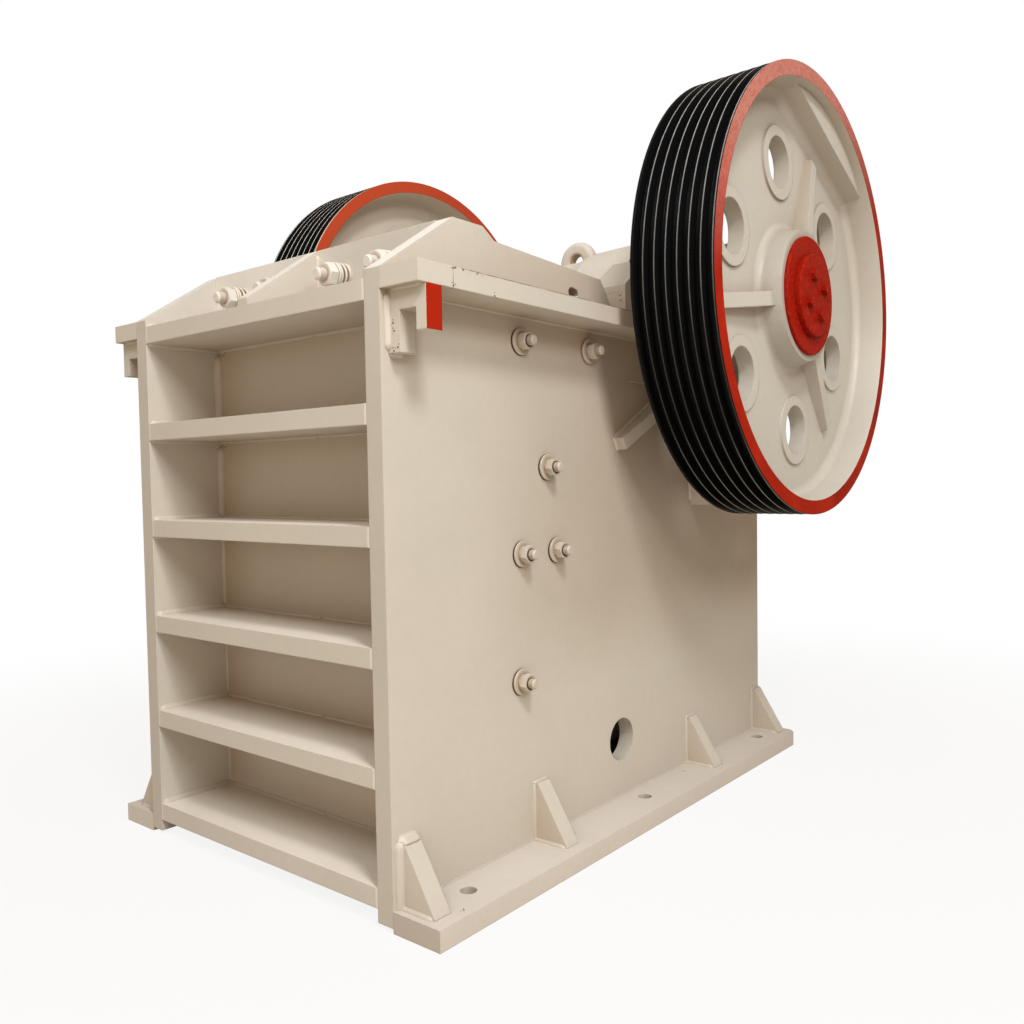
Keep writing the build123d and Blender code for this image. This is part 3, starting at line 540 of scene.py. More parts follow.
# Painted shade: the faces towards the front are painted darker.
tone = tint(tree, span(tree, facing_of(tree)["Y"], -0.5, -0.9), tone, front_face_shade_tone)
# Painted shadow: the slot in each crest is painted dark inside, with a ragged edge.
ragged = span(tree, grain(tree, 60, 3), 0.3, 0.7, -0.2, 0.3)
in_slot = sums(tree, "ADD", squared_reach(tree, place, slot_middle, slot_halves), ragged)
set_wear(tree, "Paint", tint(tree, span(tree, in_slot, 1.25, 1.0, 0, 0.9), tone, slot_shadow_tone))
# Painted shade: weaker on the inner faces, and fading out towards the floor.
by_height = span(tree, place["Z"], 0.15, 0.55, 0.25, 1)
set_wear(tree, "Dust", product(tree, span(tree, outside, 0, 1, 0.15, 0.5), by_height))


def lay_colour_over(tree, factor, colour):
    """Lays a colour over a worn paint."""
    tone = tint(tree, factor, tree.nodes["wear"].outputs["Color"], colour)
    join(tree, (tone, tree.nodes["Principled BSDF"].inputs["Base Color"]))


def paint_lit_tops(material):
    """Paints the edges that face up at the top of a plate paler: painted light."""
    tree = material.node_tree
    up = span(tree, facing_of(tree)["Z"], 0.3, 0.4)
    top = product(tree, up, span(tree, place_of(tree)["Z"], crest_foot, crest_foot + 0.03))
    lay_colour_over(tree, top, lit_top_tone)


paint_lit_tops(wall_paint)
dress(wall_paint, "side_wall_right", "side_wall_left")


def turn_body(shape, profile, steps=32):
    """Adds a closed turned body; each ring's radius and height may follow the angle."""
    rings = []
    for radius, height in profile:
        ring = []
        for step in range(steps):
            angle = step * math.tau / steps
            reach = radius(angle) if callable(radius) else radius
            level = height(angle) if callable(height) else height
            ring.append(shape.verts.new((reach * math.cos(angle), reach * math.sin(angle), level)))
        rings.append(ring)
    for lower, upper in zip(rings, rings[1:]):
        for step in range(steps):
            after = (step + 1) % steps
            shape.faces.new((lower[step], lower[after], upper[after], upper[step]))
    shape.faces.new(list(reversed(rings[0])))
    shape.faces.new(rings[-1])


def add_washer(shape, radius, low, high, edge=0.001):
    """Adds a round washer with broken edges."""
    lower = [(radius - edge, low), (radius, low + edge)]
    turn_body(shape, lower + [(radius, high - edge), (radius - edge, high)])


def add_nut(shape, flats, low, high):
    """Adds a hexagon with its corners chamfered at both ends."""
    ring = flats / 2 * 0.97

    def hexagon(angle):
        return flats / 2 / math.cos((angle + math.pi / 6) % (math.pi / 3) - math.pi / 6)

    def drop(angle):
        return (hexagon(angle) - ring) * math.tan(math.radians(30))

    rings = [(ring, low), (hexagon, lambda angle: low + drop(angle))]
    rings += [(hexagon, lambda angle: high - drop(angle)), (ring, high)]
    turn_body(shape, rings, 36)


def add_thread(shape, radius, pitch, low, high):
    """Adds a threaded end with a chamfered tip."""
    profile = []
    level = low
    while level < high - 1.6 * pitch:
        profile += [(radius, level), (radius, level + pitch * 0.15)]
        profile.append((radius - pitch * 0.55, level + pitch * 0.55))
        level += pitch
    profile += [(radius, high - 1.6 * pitch), (radius, high - 1.1 * pitch)]
    profile.append((radius - 1.1 * pitch, high))
    turn_body(shape, profile, 28)


def pattern(name, *parts):
    """Keeps the parts of a fastener, each a way of adding it and its sizes, as one pattern."""
    shape = bmesh.new()
    for add_part, *sizes in parts:
        add_part(shape, *sizes)
    mesh = bpy.data.meshes.new(name)
    bmesh.ops.recalc_face_normals(shape, faces=shape.faces)
    shape.to_mesh(mesh)
    shape.free()
    mesh.shade_smooth()
    mesh.set_sharp_from_angle(angle=math.radians(28))
    return bpy.data.objects.new(name, mesh)


def squared(tree):
    """The turn that sets a pattern square to its seat."""
    outward = stored(tree, "outward")
    return result(tree, "FunctionNodeAlignRotationToVector", {"axis": "Z"}, Vector=outward)


# Sets a pattern on each place, square to its seat and turned by chance as the spanner left it.
fastener_tree, fastener_in, fastener_out = new_group(
    "set_fasteners",
    "Geometry",
    [
        ("Geometry", "Geometry", None),
        ("Pattern", "Object", None),
        ("Spin seed", "Int", 7),
        ("Finish", "Material", None),
    ],
    [("Geometry", "Geometry")],
)
chance = add(
    fastener_tree, "FunctionNodeRandomValue", {"data_type": "FLOAT"}, Seed=fastener_in["Spin seed"]
)
chance.inputs["Max"].default_value = math.pi
chance = chance.outputs["Value"]
spin = result(fastener_tree, "FunctionNodeAxisAngleToRotation", Axis=(0, 0, 1), Angle=chance)
turned = result(
    fastener_tree, "FunctionNodeRotateRotation", {"rotation_space": "LOCAL"},
    Rotation=squared(fastener_tree), Rotate_By=spin,
)
model = add(fastener_tree, "GeometryNodeObjectInfo", Object=fastener_in["Pattern"])
placed = result(
    fastener_tree, "GeometryNodeInstanceOnPoints",
    Points=fastener_in["Geometry"], Instance=model.outputs["Geometry"], Rotation=turned,
)
hand_over(fastener_tree, placed, fastener_in["Finish"], fastener_out)


def seat_points(name, seats):
    """A mesh with a point at each seat, given as a place and the way it points."""
    points = bmesh.new()
    way = points.verts.layers.float_vector.new("outward")
    for place, direction in seats:
        points.verts.new(place)[way] = Vector(direction)
    mesh = bpy.data.meshes.new(name)
    points.to_mesh(mesh)
    points.free()
    return mesh


def both_sides(seats):
    """Seats on the right side and their mirror images on the left."""
    mirrored = []
    for side in (1, -1):
        mirrored += [((side * x, y, z), (side * i, j, k)) for (x, y, z), (i, j, k) in seats]
    return mirrored


def fasten(name, model, seats, finish, seed=7):
    """Sets one pattern at each seat."""
    looks = {"Pattern": model, "Spin_seed": seed, "Finish": finish}
    make(name, seat_points(name, seats), fastener_tree, "frame", "frame_paint", **looks)


# Strong painted shade in the small hollows of the fasteners.
fastener_paint = painted(
    "fastener_paint", Paint=(0.53, 0.49, 0.42, 1),
    Dust=1.4, Reach=0.018, Edge=0.0015, Chips=0.3, Grain=160,
)
cheek_stud = pattern(
    "cheek_stud",
    (add_washer, 0.030, 0, 0.0035),
    (add_washer, 0.038, 0.0025, 0.0095, 0.0015),
    (add_washer, 0.024, 0.009, 0.0145, 0.0012),
    (add_nut, 0.046, 0.0145, 0.036),
    (add_thread, 0.0145, 0.0035, 0.034, 0.056),
)
seats = [((wall_face, y, z), (1, 0, 0)) for y, z in stud_places]
fasten("cheek_studs", cheek_stud, both_sides(seats), fastener_paint)
# Painted shade: thin dark rings behind the washers and at the roots of the studs stand for the
# shade in those gaps. The same dark paint serves the weld spatter.
gap_dark = painted(
    "gap_dark", 0.2, Paint=(0.07, 0.045, 0.03, 1), Shade=(0.04, 0.024, 0.015, 1),
    Reach=0.01, Edge=0.0005, Relief=0.0002, Gloss=0.8,
)
stud_gap = pattern(
    "stud_gap",
    (add_washer, 0.0384, 0, 0.0016, 0.0003),
    (add_washer, 0.0178, 0.034, 0.0366, 0.0003),
)
open_studs = [spot for spot in stud_places if spot != tight_stud]
seats = [((wall_face, y - 0.0006, z - 0.0008), (1, 0, 0)) for y, z in open_studs]
fasten("stud_gaps", stud_gap, both_sides(seats), gap_dark)

# Front wall and shelves: the thick plate behind the fixed jaw is closed in by six full-width
# shelves and a sloping middle rib, with broad filled welds in the corners of the bays.
tread_light_tone = (0.82, 0.77, 0.69, 1)
lit_head_tone = (0.78, 0.75, 0.69, 1)
shaded_head_tone = (0.565, 0.535, 0.475, 1)
lowest_shelf_light_tone = (0.60, 0.56, 0.505, 1)
butt_seam_tone = (0.70, 0.67, 0.61, 1)
head_foot = 1.60
lowest_shelf_top = 0.0985
shelf_top_leg, shelf_under_leg, shelf_back_leg = 0.016, 0.010, 0.008
corner_legs = (0.008, 0.008, 0.010, 0.017, 0.020)
rib_leg = 0.009
shelf_names = [f"front_shelf_{number}" for number in range(1, 7)]
bay_paint = painted("bay_paint", Shade=(0.40, 0.235, 0.10, 1))
tree = bay_paint.node_tree
place = place_of(tree)
height = place["Z"]
# Painted shade: the bays below the top shelf are painted a warm brown, less so near the floor.
bay_shading = span(tree, height, 1.566, 1.575, 0.62, 0.05)
set_wear(tree, "Dust", product(tree, bay_shading, span(tree, height, 0.095, 0.15, 0.1, 1)))
# Painted light: the shelf tops are painted paler towards their front edges.
lit_treads = product(
    tree,
    span(tree, facing_of(tree)["Z"], 0.5, 0.9),
    span(tree, height, 1.58, 1.57),
    span(tree, place["Y"], -0.89, -1.10, 0.3, 1),
)
# Painted light and shade: the head of the front wall is paler on the left and darker on the right.
head_light_tone = tint(tree, span(tree, place["X"], -0.2, 0.2), lit_head_tone, shaded_head_tone)
tone = tint(tree, span(tree, height, head_foot, head_foot + 0.06), cream, head_light_tone)
tone = tint(tree, lit_treads, tone, tread_light_tone)
# Painted light: everything below the top of the lowest shelf is painted a little paler.
lowest_lit = span(tree, height, lowest_shelf_top, lowest_shelf_top - 0.001)
set_wear(tree, "Paint", tint(tree, lowest_lit, tone, lowest_shelf_light_tone))
off_middle = sums(tree, "ABSOLUTE", place["X"])
seam = sums(tree, "ADD", off_middle, product(tree, grain(tree, 45), 0.008))
in_front = span(tree, place["Y"], -1.1275, -1.1285)
lay_colour_over(tree, product(tree, span(tree, seam, 0.5000, 0.5015), in_front), butt_seam_tone)
dress(bay_paint, "front_wall", *shelf_names)
rib_paint = painted("rib_paint", Dust=0.3, Reach=0.12)
# Painted light: the rib's upward edges at its top are painted paler.
paint_lit_tops(rib_paint)
dress(rib_paint, "front_rib")
front_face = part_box("front_wall")[0][1]
front_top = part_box("front_wall")[1][2]
runs = []
floors = [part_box(name) for name in shelf_names]
depth = (wall_front + 0.002, front_face + 0.02)
for low, high in floors:
    for level, way, leg in ((high[2], -1, shelf_top_leg), (low[2], 1, shelf_under_leg)):
        runs.append(straight(wall_back, depth, level, (1, 0, way), leg))
        runs.append(straight((wall_back, 0), front_face, level, (0, 1, way), shelf_back_leg))
for lower, upper, leg in zip(floors, floors[1:], corner_legs):
    upright = (lower[1][2] - 0.01, upper[0][2] - 0.012)
    runs.append(straight(wall_back, front_face, upright, (1, 1, 0), leg))
weld("bay_welds", runs)
rib_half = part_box("front_rib")[1][0]
shelf_top = floors[-1][1][2]
depth, upright = (wall_front + 0.03, front_face), (shelf_top, front_top - 0.012)
runs = [straight(rib_half, depth, shelf_top, (-1, 0, -1), rib_leg)]
runs.append(straight(rib_half, front_face, upright, (-1, 1, 0), rib_leg))
weld("rib_welds", runs)

# Jaw bolts: four long bolts clamp the fixed die through the front wall. Each carries a nut over
# heavy spring washers, and all of it was sprayed with the wall.
bolt_height = 1.698
bolt_lean = -0.1
jaw_bolt = pattern(
    "jaw_bolt",
    (add_washer, 0.033, -0.004, 0.007, 0.0015),
    (add_washer, 0.022, 0.007, 0.0155),
    (add_washer, 0.034, 0.0155, 0.022, 0.002),
    (add_washer, 0.022, 0.022, 0.030),
    (add_washer, 0.0345, 0.030, 0.038, 0.002),
    (add_washer, 0.0345, 0.0385, 0.0445, 0.002),
    (add_nut, 0.060, 0.0445, 0.074),
    (add_thread, 0.018, 0.004, 0.072, 0.103),
)
# Strong painted shade in the gaps between the washers.
bolt_paint = painted(
    "bolt_paint", Paint=(0.70, 0.67, 0.61, 1),
    Reach=0.012, Edge=0.002, Chips=0.2, Dust=1.1, Relief=0.0012, Grain=110,
)
bolt_places = [(x, front_face, bolt_height) for x in (-0.350, -0.140, 0.140, 0.350)]
seats = [(place, (0, -1, bolt_lean)) for place in bolt_places]
fasten("jaw_bolts", jaw_bolt, seats, bolt_paint, seed=4)

# Deck flanges and corner brackets: flat bars along the tops of the walls and hooked brackets under
# their front ends, whose outer face is painted red. The flange is butt-welded near its front end.
seam_dark = (0.07, 0.045, 0.03, 1)
seam_y, flaked_y = -1.0045, -0.965
red_shade = (0.12, 0.006, 0.004, 1)
bracket_leg, under_leg, hook_leg, deck_leg = 0.013, 0.006, 0.010, 0.005
deck_edge, _, deck_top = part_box("deck_flange_right")[1]
deck_paint = painted("deck_paint", Chips=1.6, Dust=0.8)
tree = deck_paint.node_tree
place = place_of(tree)
wavy = sums(tree, "ADD", place["Y"], product(tree, grain(tree, 34, 4), 0.016))
seam = span(tree, sums(tree, "ABSOLUTE", sums(tree, "SUBTRACT", wavy, seam_y)), 0.0012, 0.0005)
seam = product(tree, seam, span(tree, grain(tree, 30, 3), 0.28, 0.42))
from_flaked = sums(tree, "ABSOLUTE", sums(tree, "SUBTRACT", place["Y"], flaked_y))
flakes = product(
    tree,
    span(tree, from_flaked, 0.08, 0.05),
    span(tree, place["Z"], deck_top - 0.009, deck_top - 0.005),
    span(tree, grain(tree, 120, 3), 0.57, 0.61),
)
lip = product(
    tree,
    span(tree, place["Z"], deck_top - 0.0032, deck_top - 0.0014),
    span(tree, place["Y"], -0.99, -0.97),
    span(tree, grain(tree, 22, 4), 0.3, 0.55, 0.15, 0.7),
)
upright = span(tree, facing_of(tree)["Z"], 0.6, 0.4)
flakes = product(tree, sums(tree, "MAXIMUM", flakes, lip), upright)
lay_colour_over(tree, sums(tree, "MAXIMUM", seam, flakes), seam_dark)
dress(deck_paint, "deck_flange_right", "deck_flange_left")


def repaint(name, body, materials, choose):
    """A copy of a CAD node's mesh with a paint for each face, which stands for the node."""
    mesh = nodes[name].data.copy()
    mesh.name = name + "_painted"
    mesh.materials.clear()
    for material in materials:
        mesh.materials.append(material)
    for face in mesh.polygons:
        face.material_index = choose(face.center)
    piece = bpy.data.objects.new(name + "_painted", mesh)
    bpy.context.scene.collection.objects.link(piece)
    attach(piece, body)
    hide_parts(name)


def bracket_coat(middle):
    """The paint of a bracket's face: 0 cream, 1 red."""
    return int(abs(middle.x) > deck_edge - 0.001)


hook_red = painted(
    "hook_red", 0.08, Paint=(0.37, 0.017, 0.004, 1), Shade=red_shade, Primer=cream,
    Chips=1.6, Dust=0.4, Reach=0.03, Relief=0.0006, Grain=300,
)
for name in ("corner_bracket_right", "corner_bracket_left"):
    repaint(name, "frame", (frame_paint, hook_red), bracket_coat)
(_, front_side, hook_low), (_, back_side, deck_under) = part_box("corner_bracket_right")
runs = []
for edge, way in ((front_side, 1), (back_side, -1)):
    upright = (hook_low + 0.006, deck_under - 0.004)
    runs.append(straight(wall_face, edge, upright, (-1, way, 0), bracket_leg))
    outward = (wall_face + 0.008, deck_edge - 0.012)
    runs.append(straight(outward, edge, deck_under, (0, way, 1), under_leg))
runs.append(straight(wall_face, (front_side, back_side), hook_low, (-1, 0, 1), hook_leg))
runs.append(straight(wall_face, (back_side + 0.02, 0.10), deck_under, (-1, 0, 1), deck_leg))
weld("bracket_welds", runs)

# Rear wall and shelves: the lower wall behind the toggle, stiffened like the front, with cast seats
# for the tension springs.
rear_floors = ((0.047, 0.099), (0.3465, 0.3985), (0.646, 0.698), (0.9455, 0.9975), (1.198, 1.250))
top_level = rear_floors[-1][1]
rear_side_leg, rear_back_leg, rear_corner_leg = 0.014, 0.011, 0.018
dress(frame_paint, "rear_wall", "rear_shelves", "toggle_seat")
rear_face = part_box("rear_shelves")[0][1]
runs = []
for low, high in rear_floors:
    for level, way in ((high, -1), (low, 1)):
        depth = (rear_face, wall_rear - 0.004)
        runs.append(straight(wall_back, depth, level, (1, 0, way), rear_side_leg))
        if level != top_level:
            across = (wall_back, 0)
            runs.append(straight(across, rear_face, level, (0, -1, way), rear_back_leg))
for (_, lower), (upper, _) in zip(rear_floors, rear_floors[1:]):
    runs.append(straight(wall_back, rear_face, (lower, upper - 0.02), (1, -1, 0), rear_corner_leg))
weld("rear_welds", runs)

# Bearing housings: split steel castings welded into the walls over slanting ribs, with their caps
# held by studs through the shoulders and a bolted cover round the shaft.
cap_stud_x, cap_stud_reach, shoulder_z = 0.545, 0.292, 1.835
cover_reach = 0.208
rib_turn = math.radians(29)
rib_ahead, rib_drop, rib_length = 0.514, 0.490, 0.30
rib_edge, rib_end = 0.021, 0.026
slant_leg, middle_leg, block_leg = 0.009, 0.011, 0.007
block_face = 0.590
casting_paint = painted(
    "casting_paint", Relief=0.0012, Grain=75, Edge=0.006, Dust=0.8, Gloss=0.5
)
housing = ("bearing_seat_right", "bearing_seat_left", "bearing_cap_right", "bearing_cap_left")
dress(casting_paint, *housing)
dress(frame_paint, "bearing_ribs_right", "bearing_ribs_left")
(_, seat_front, seat_low), (seat_face, seat_back, shaft_z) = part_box("bearing_seat_right")
shaft_y = (seat_front + seat_back) / 2
cap_stud = pattern(
    "cap_stud",
    (add_washer, 0.028, 0, 0.005),
    (add_nut, 0.046, 0.005, 0.029),
    (add_thread, 0.015, 0.0035, 0.027, 0.048),
)
ends = (-cap_stud_reach, cap_stud_reach)
seats = [((cap_stud_x, shaft_y + ahead, shoulder_z), (0, 0, 1)) for ahead in ends]
fasten("cap_studs", cap_stud, both_sides(seats), fastener_paint, seed=2)
cover_bolt = pattern("cover_bolt", (add_washer, 0.0185, 0, 0.003), (add_nut, 0.030, 0.003, 0.0155))
seats = []
for index in range(8):
    angle = math.radians(22.5 + 45 * index)
    y, z = shaft_y + cover_reach * math.cos(angle), shaft_z + cover_reach * math.sin(angle)
    seats.append(((seat_face, y, z), (1, 0, 0)))
fasten("cover_bolts", cover_bolt, both_sides(seats), fastener_paint, seed=9)
to_wall = Vector((-1, 0, 0))
runs = []
for way in (1, -1):
    start = Vector((wall_face, shaft_y - way * rib_ahead, shaft_z - rib_drop))
    along = Vector((0, way * math.cos(rib_turn), math.sin(rib_turn)))
    across = Vector((0, -way * math.sin(rib_turn), math.cos(rib_turn)))
    for side in (1, -1):
        edge = start + across * rib_edge * side
        far_end = edge + along * rib_length
        runs.append((edge + along * 0.004, far_end, to_wall - across * side, slant_leg))
    runs.append((start - across * rib_end, start + across * rib_end, to_wall + along, slant_leg))
for side in (1, -1):
    edge = shaft_y + side * rib_edge
    upright = (shaft_z - 0.69, shaft_z - 0.30)
    runs.append(straight(wall_face, edge, upright, (-1, -side, 0), middle_leg))
depth = (seat_front + 0.01, seat_back - 0.01)
runs.append(straight(block_face, depth, seat_low + 0.002, (-1, 0, -1), block_leg))
weld("bearing_welds", runs)

# Jaw dies and cheek plates: manganese steel castings, bare, dark from the mould and rubbed bright
# on the crests of their teeth.
bare, bare_in, bare_out = new_group(
    "bare_wear",
    "Shader",
    [
        ("Steel", "Color", (0.11, 0.10, 0.09, 1)),
        ("Stain", "Color", (0.12, 0.055, 0.025, 1)),
        ("Bright", "Color", (0.42, 0.40, 0.38, 1)),
        ("Rust", "Float", 0.5),
        ("Rubbed", "Float", 0.7),
        ("Edge", "Float", 0.006),
        ("Relief", "Float", 0.0012),
        ("Grain", "Float", 60),
    ],
    [("Color", "Color"), ("Roughness", "Float"), ("Metallic", "Float"), ("Normal", "Vector")],
)
rounded, turned = soft_edge(bare, bare_in["Edge"])
ragged = span(bare, grain(bare, 25, 4), 0.3, 0.6)
bright_mask = product(bare, span(bare, turned, 0.995, 0.9), ragged, bare_in["Rubbed"], clamp=True)
stain = span(bare, grain(bare, 7, 6, 0.6), 0.45, 0.65)
stain = product(bare, stain, bare_in["Rust"], clamp=True)
tone = tint(bare, stain, bare_in["Steel"], bare_in["Stain"])
tone = tint(bare, bright_mask, tone, bare_in["Bright"])
rough = span(bare, grain(bare, 20, 4), 0.3, 0.7, 0.42, 0.58)
rough = sums(bare, "ADD", rough, product(bare, stain, 0.25))
metal = sums(bare, "SUBTRACT", 0.85, product(bare, stain, 0.8), clamp=True)
skin = grain(bare, bare_in["Grain"], 5, 0.6)
skin = add(bare, "ShaderNodeBump", Distance=bare_in["Relief"], Height=skin, Normal=rounded)
join(bare, (tone, bare_out["Color"]), (rough, bare_out["Roughness"]))
join(bare, (metal, bare_out["Metallic"]), (skin.outputs[0], bare_out["Normal"]))


def bare_steel(name, **values):
    """An unpainted steel with its own amounts of rust and rubbing."""
    return worn(name, bare, values)


manganese = bare_steel("manganese_steel")
dress(manganese, "fixed_jaw_die", "moving_jaw_die", "cheek_plates_right", "cheek_plates_left")

# Pitman: one steel casting with the head tube, the jaw plate and its ribs, sand-rough under the
# cream coat. The lifting eye is forged and welded to the waist of the head.
pitman_paint = painted(
    "pitman_paint", Paint=(0.72, 0.685, 0.62, 1),
    Relief=0.0020, Grain=48, Edge=0.008, Dust=0.85, Gloss=0.52,
)
dress(pitman_paint, "pitman", "lifting_eye")

# Toggle gear: the toggle plate rocks between two seats and is the machine's safety link; wedges
# behind its seat set the discharge. Rolled and cast steel, bare, with a thin bloom of rust.
mill_steel = bare_steel(
    "mill_steel", Steel=(0.17, 0.16, 0.15, 1), Rust=0.8, Rubbed=0.5, Relief=0.0006
)
dress(mill_steel, "toggle_plate", "toggle_pad", "adjusting_wedges")

# Tension springs: close-coiled from round bar, black, between the wall seats and the plates of the
# rods. They keep the pitman against the toggle plate.
rod_slope = 0.081098
rod_start = Vector((0, -0.083524, 0.157362))
rod_x = 0.365
seat_along = 0.832177
spring_black = painted(
    "spring_black", Paint=(0.012, 0.012, 0.013, 1), Shade=(0.02, 0.015, 0.01, 1),
    Primer=(0.2, 0.1, 0.05, 1), Dust=0.9, Reach=0.03, Chips=0.8, Edge=0.002, Gloss=0.35,
)
coil_tree, coil_in, coil_out = new_group(
    "coil_spring",
    "Geometry",
    [
        ("Geometry", "Geometry", None),
        ("Turns", "Float", 7),
        ("Coil radius", "Float", 0.054),
        ("Bar radius", "Float", 0.0085),
        ("Length", "Float", 0.132),
        ("Finish", "Material", None),
    ],
    [("Geometry", "Geometry")],
)
helix = result(
    coil_tree, "GeometryNodeCurveSpiral",
    Resolution=36, Rotations=coil_in["Turns"], Height=coil_in["Length"],
    Start_Radius=coil_in["Coil radius"], End_Radius=coil_in["Coil radius"],
)
round_bar = result(
    coil_tree, "GeometryNodeCurvePrimitiveCircle", Resolution=14, Radius=coil_in["Bar radius"]
)
coil = result(
    coil_tree, "GeometryNodeCurveToMesh", Curve=helix, Profile_Curve=round_bar, Fill_Caps=True
)
coil = result(coil_tree, "GeometryNodeSetShadeSmooth", Geometry=coil)
coil = result(
    coil_tree, "GeometryNodeInstanceOnPoints",
    Points=coil_in["Geometry"], Instance=coil, Rotation=squared(coil_tree),
)
hand_over(coil_tree, coil, coil_in["Finish"], coil_out)
dress(frame_paint, "tension_rods")
rod_ahead = Vector((0, math.cos(rod_slope), math.sin(rod_slope)))
seat_middle = rod_start + rod_ahead * seat_along + Vector((rod_x, 0, 0))
points = seat_points("tension_coils", both_sides([(seat_middle, rod_ahead)]))
coils = make("tension_coils", points, coil_tree, "frame", "spring_steel", Finish=spring_black)
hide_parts("tension_springs")

# Eccentric shaft: forged and turned, with its ends covered by a red disc and a bolted retaining
# plate in each wheel's hub.
red_primer = (0.25, 0.2, 0.16, 1)
dark_red, light_red = (0.305, 0.008, 0.002, 1), (0.42, 0.022, 0.007, 1)
turned_steel = bare_steel(
    "turned_steel", Steel=(0.36, 0.35, 0.34, 1), Rust=0.15, Rubbed=0.3, Relief=0.0001, Grain=220
)
dress(turned_steel, "eccentric_shaft")
red_paint = painted(
    "red_paint", 0.05, Shade=red_shade, Primer=red_primer, Chips=0.7, Dust=0.5, Reach=0.05
)
tree = red_paint.node_tree
specks = span(tree, grain(tree, 85, 5, 0.7), 0.48, 0.64)
set_wear(tree, "Paint", tint(tree, specks, dark_red, light_red))
dress(red_paint, "hub_disc_right", "hub_disc_left", "retainer_right", "retainer_left")

# Flywheels: iron castings with seven belt grooves turned in the rim. The dish is cream, the rim
# faces are red and the grooves black, with the lands between them rubbed to bare metal. Painted
# light and shade: a darker hub and upper dish and a pink sheen on the near wheel, a paler dish on
# the far one, and paler land lines where light catches them.
black = (0.005, 0.005, 0.005, 1)
far_dish_light_tone, near_dish_tone = (0.66, 0.60, 0.51, 1), (0.59, 0.565, 0.51, 1)
boss_shade_tone = (0.47, 0.45, 0.405, 1)
boss_reach = 0.245
first_land, belt_pitch = 0.785, 0.037
worn_red, fresh_red = (0.29, 0.009, 0.002, 1), (0.42, 0.019, 0.004, 1)
sheen_pink, far_red = (0.53, 0.215, 0.17, 1), (0.50, 0.070, 0.028, 1)
sheen_way = (0.5, -0.31, 0.95)
rim_face, rim_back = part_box("flywheel_right")[1][0], 0.761
rim_inside, groove_bottom, land_reach = 0.687, 0.700, 0.7322
wheel_paint = painted(
    "wheel_paint", Shade=(0.31, 0.235, 0.155, 1),
    Relief=0.0010, Grain=60, Edge=0.006, Reach=0.30, Gloss=0.36,
)
tree = wheel_paint.node_tree
place = place_of(tree)
near = span(tree, place["X"], -0.01, 0.01)
# Painted shade: stronger high on the near wheel; the far wheel keeps the least.
light_and_shade_amount = product(tree, near, span(tree, place["Z"], 1.4, 1.8, 0.4, 0.95))
set_wear(tree, "Dust", sums(tree, "MAXIMUM", light_and_shade_amount, 0.25))
# Painted light: the far wheel's dish is painted paler.
tone = tint(tree, near, far_dish_light_tone, near_dish_tone)
# Painted shade: the near wheel's hub boss is painted darker.
from_shaft = sums(tree, "SQRT", squared_reach(tree, place, (shaft_y, shaft_z)))
boss_shade = product(tree, span(tree, from_shaft, boss_reach, boss_reach - 0.013), near)
set_wear(tree, "Paint", tint(tree, boss_shade, tone, boss_shade_tone))
groove_black = painted(
    "groove_black", 0.12, Paint=(0.0045, 0.0045, 0.005, 1), Shade=(0.003, 0.003, 0.003, 1),
    Primer=(0.12, 0.12, 0.12, 1), Dust=0.3, Chips=0.2, Edge=0.001, Gloss=0.24,
)
land_grey = painted(
    "land_grey", 0.12, Shade=black, Primer=(0.05, 0.05, 0.05, 1),
    Dust=0.2, Chips=0.2, Edge=0.001, Gloss=0.5,
)
tree = land_grey.node_tree
place = place_of(tree)
from_first = sums(tree, "SUBTRACT", sums(tree, "ABSOLUTE", place["X"]), first_land)
pitches = sums(tree, "DIVIDE", from_first, belt_pitch)
off_middle = sums(tree, "SUBTRACT", sums(tree, "FRACT", pitches), 0.5)
on_land = span(tree, sums(tree, "ABSOLUTE", off_middle), 0.055, 0.03)
# The lands are rubbed bright; painted light makes their lines paler high and low on the near wheel
# and all over the far wheel.
light_and_shade_amount = span(tree, place["Z"], 1.5, 2.15, 0.04, 0.34)
light_and_shade_amount = sums(tree, "MAXIMUM", light_and_shade_amount, span(tree, place["Z"], 1.30, 0.95, 0, 0.34))
light_and_shade_amount = sums(tree, "MAXIMUM", light_and_shade_amount, span(tree, place["X"], 0.01, -0.01, 0, 0.9))
light_and_shade_amount = product(tree, light_and_shade_amount, span(tree, grain(tree, 30, 4), 0.3, 0.7, 0.7, 1.1))
bright_mask = product(tree, on_land, span(tree, pitches, -0.3, -0.1), light_and_shade_amount, clamp=True)
set_wear(tree, "Paint", tint(tree, bright_mask, black, (1, 1, 1, 1)))
rim_red = painted(
    "rim_red", 0.04, Shade=red_shade, Primer=red_primer, Chips=0.7, Dust=0.3, Reach=0.05
)
tree = rim_red.node_tree
# Painted reflection: a speckled pink sheen on the upper front of the near rim's face.
along = add(tree, "ShaderNodeVectorMath", {"operation": "DOT_PRODUCT"})
join(tree, (add(tree, "ShaderNodeTexCoord").outputs["Object"], along.inputs[0]))
along.inputs[1].default_value = sheen_way
painted_sheen = span(tree, along.outputs["Value"], 2.2, 2.62)
speckled = span(tree, grain(tree, 110, 5, 0.75), 0.40, 0.60, 0.6, 1.15)
blotched = span(tree, grain(tree, 7, 5), 0.35, 0.65)
tone = tint(tree, blotched, worn_red, fresh_red)
tone = tint(tree, product(tree, painted_sheen, speckled, clamp=True), tone, sheen_pink)
far_side = span(tree, place_of(tree)["X"], 0.01, -0.01)
set_wear(tree, "Paint", tint(tree, far_side, tone, far_red))


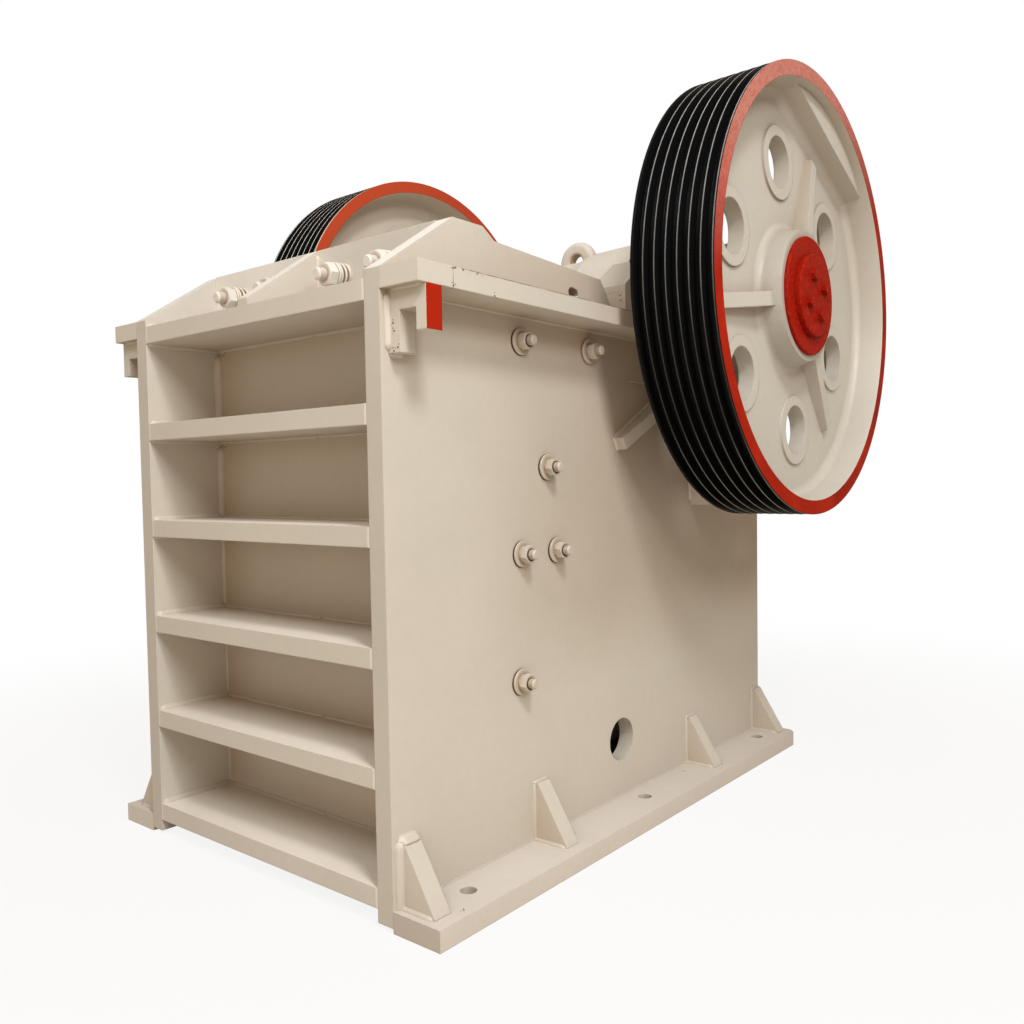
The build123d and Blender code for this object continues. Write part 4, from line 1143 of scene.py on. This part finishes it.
def wheel_coat(middle):
    """The paint of a wheel's face: 0 cream, 1 red, 2 black, 3 land."""
    reach = math.hypot(middle.y - shaft_y, middle.z - shaft_z)
    across = abs(middle.x)
    if reach > rim_inside and (across > rim_face - 0.0005 or across < rim_back + 0.0005):
        return 1
    if reach > land_reach:
        return 0 if middle.x < 0 and across < rim_back + 0.0085 else 3
    return 2 if reach > groove_bottom else 0


wheel_coats = (wheel_paint, rim_red, groove_black, land_grey)
for name in ("flywheel_right", "flywheel_left"):
    repaint(name, "rotor", wheel_coats, wheel_coat)

# Weld spatter: small dark flakes left unbrushed in the bay corners, at the brackets and gussets, on
# the deck's edge and on the bearing blocks.


def add_flake(shape, x, y, reach, phase):
    """Adds a low flake with a wavy outline, off the middle of its pattern."""
    before = len(shape.verts)
    profile = [
        (lambda angle: reach * (1 + 0.2 * math.sin(2 * angle + phase)), -0.0005),
        (lambda angle: reach * (0.8 + 0.15 * math.sin(3 * angle + phase)), 0.0007),
        (reach * 0.3, 0.0012),
    ]
    turn_body(shape, profile, 12)
    bmesh.ops.translate(shape, verts=list(shape.verts)[before:], vec=(x, y, 0))


flakes = pattern(
    "spatter_flakes",
    (add_flake, 0, 0, 0.0026, 0.4),
    (add_flake, 0.0075, 0.003, 0.0015, 2.1),
    (add_flake, -0.006, 0.0055, 0.0011, 4.0),
)
ahead, up, outward = (0, -1, 0), (0, 0, 1), (1, 0, 0)
seats = []
for low, high in floors[1:]:
    for step_in, drop in ((0.012, 0.010), (0.026, 0.016), (0.040, 0.008)):
        seats.append(((step_in - wall_back, front_face, low[2] - drop), ahead))
seats.append(((0.692, -1.018, foot_top), up))
seats.append(((0.604, 0.232, foot_top), up))
seats.append(((wall_face + 0.008, front_side, deck_under - 0.026), ahead))
for inward, rise in ((0.020, 0.005), (0.034, 0.012), (0.022, 0.052), (0.019, 0.071)):
    seats.append(((wall_face + inward, front_side, hook_low + rise), ahead))
seats.append(((deck_edge, -1.012, deck_under + 0.006), outward))
seats.append(((deck_edge, -0.862, deck_under + 0.003), outward))
for x, z in ((0.571, 1.698), (0.575, 1.682)):
    seats.append(((x, seat_front, z), ahead))
for middle in gusset_middles:
    seats.append(((wall_face + 0.030, middle + gusset_half + 0.024, foot_top), up))
fasten("weld_spatter", flakes, both_sides(seats), gap_dark, seed=5)

low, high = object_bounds()
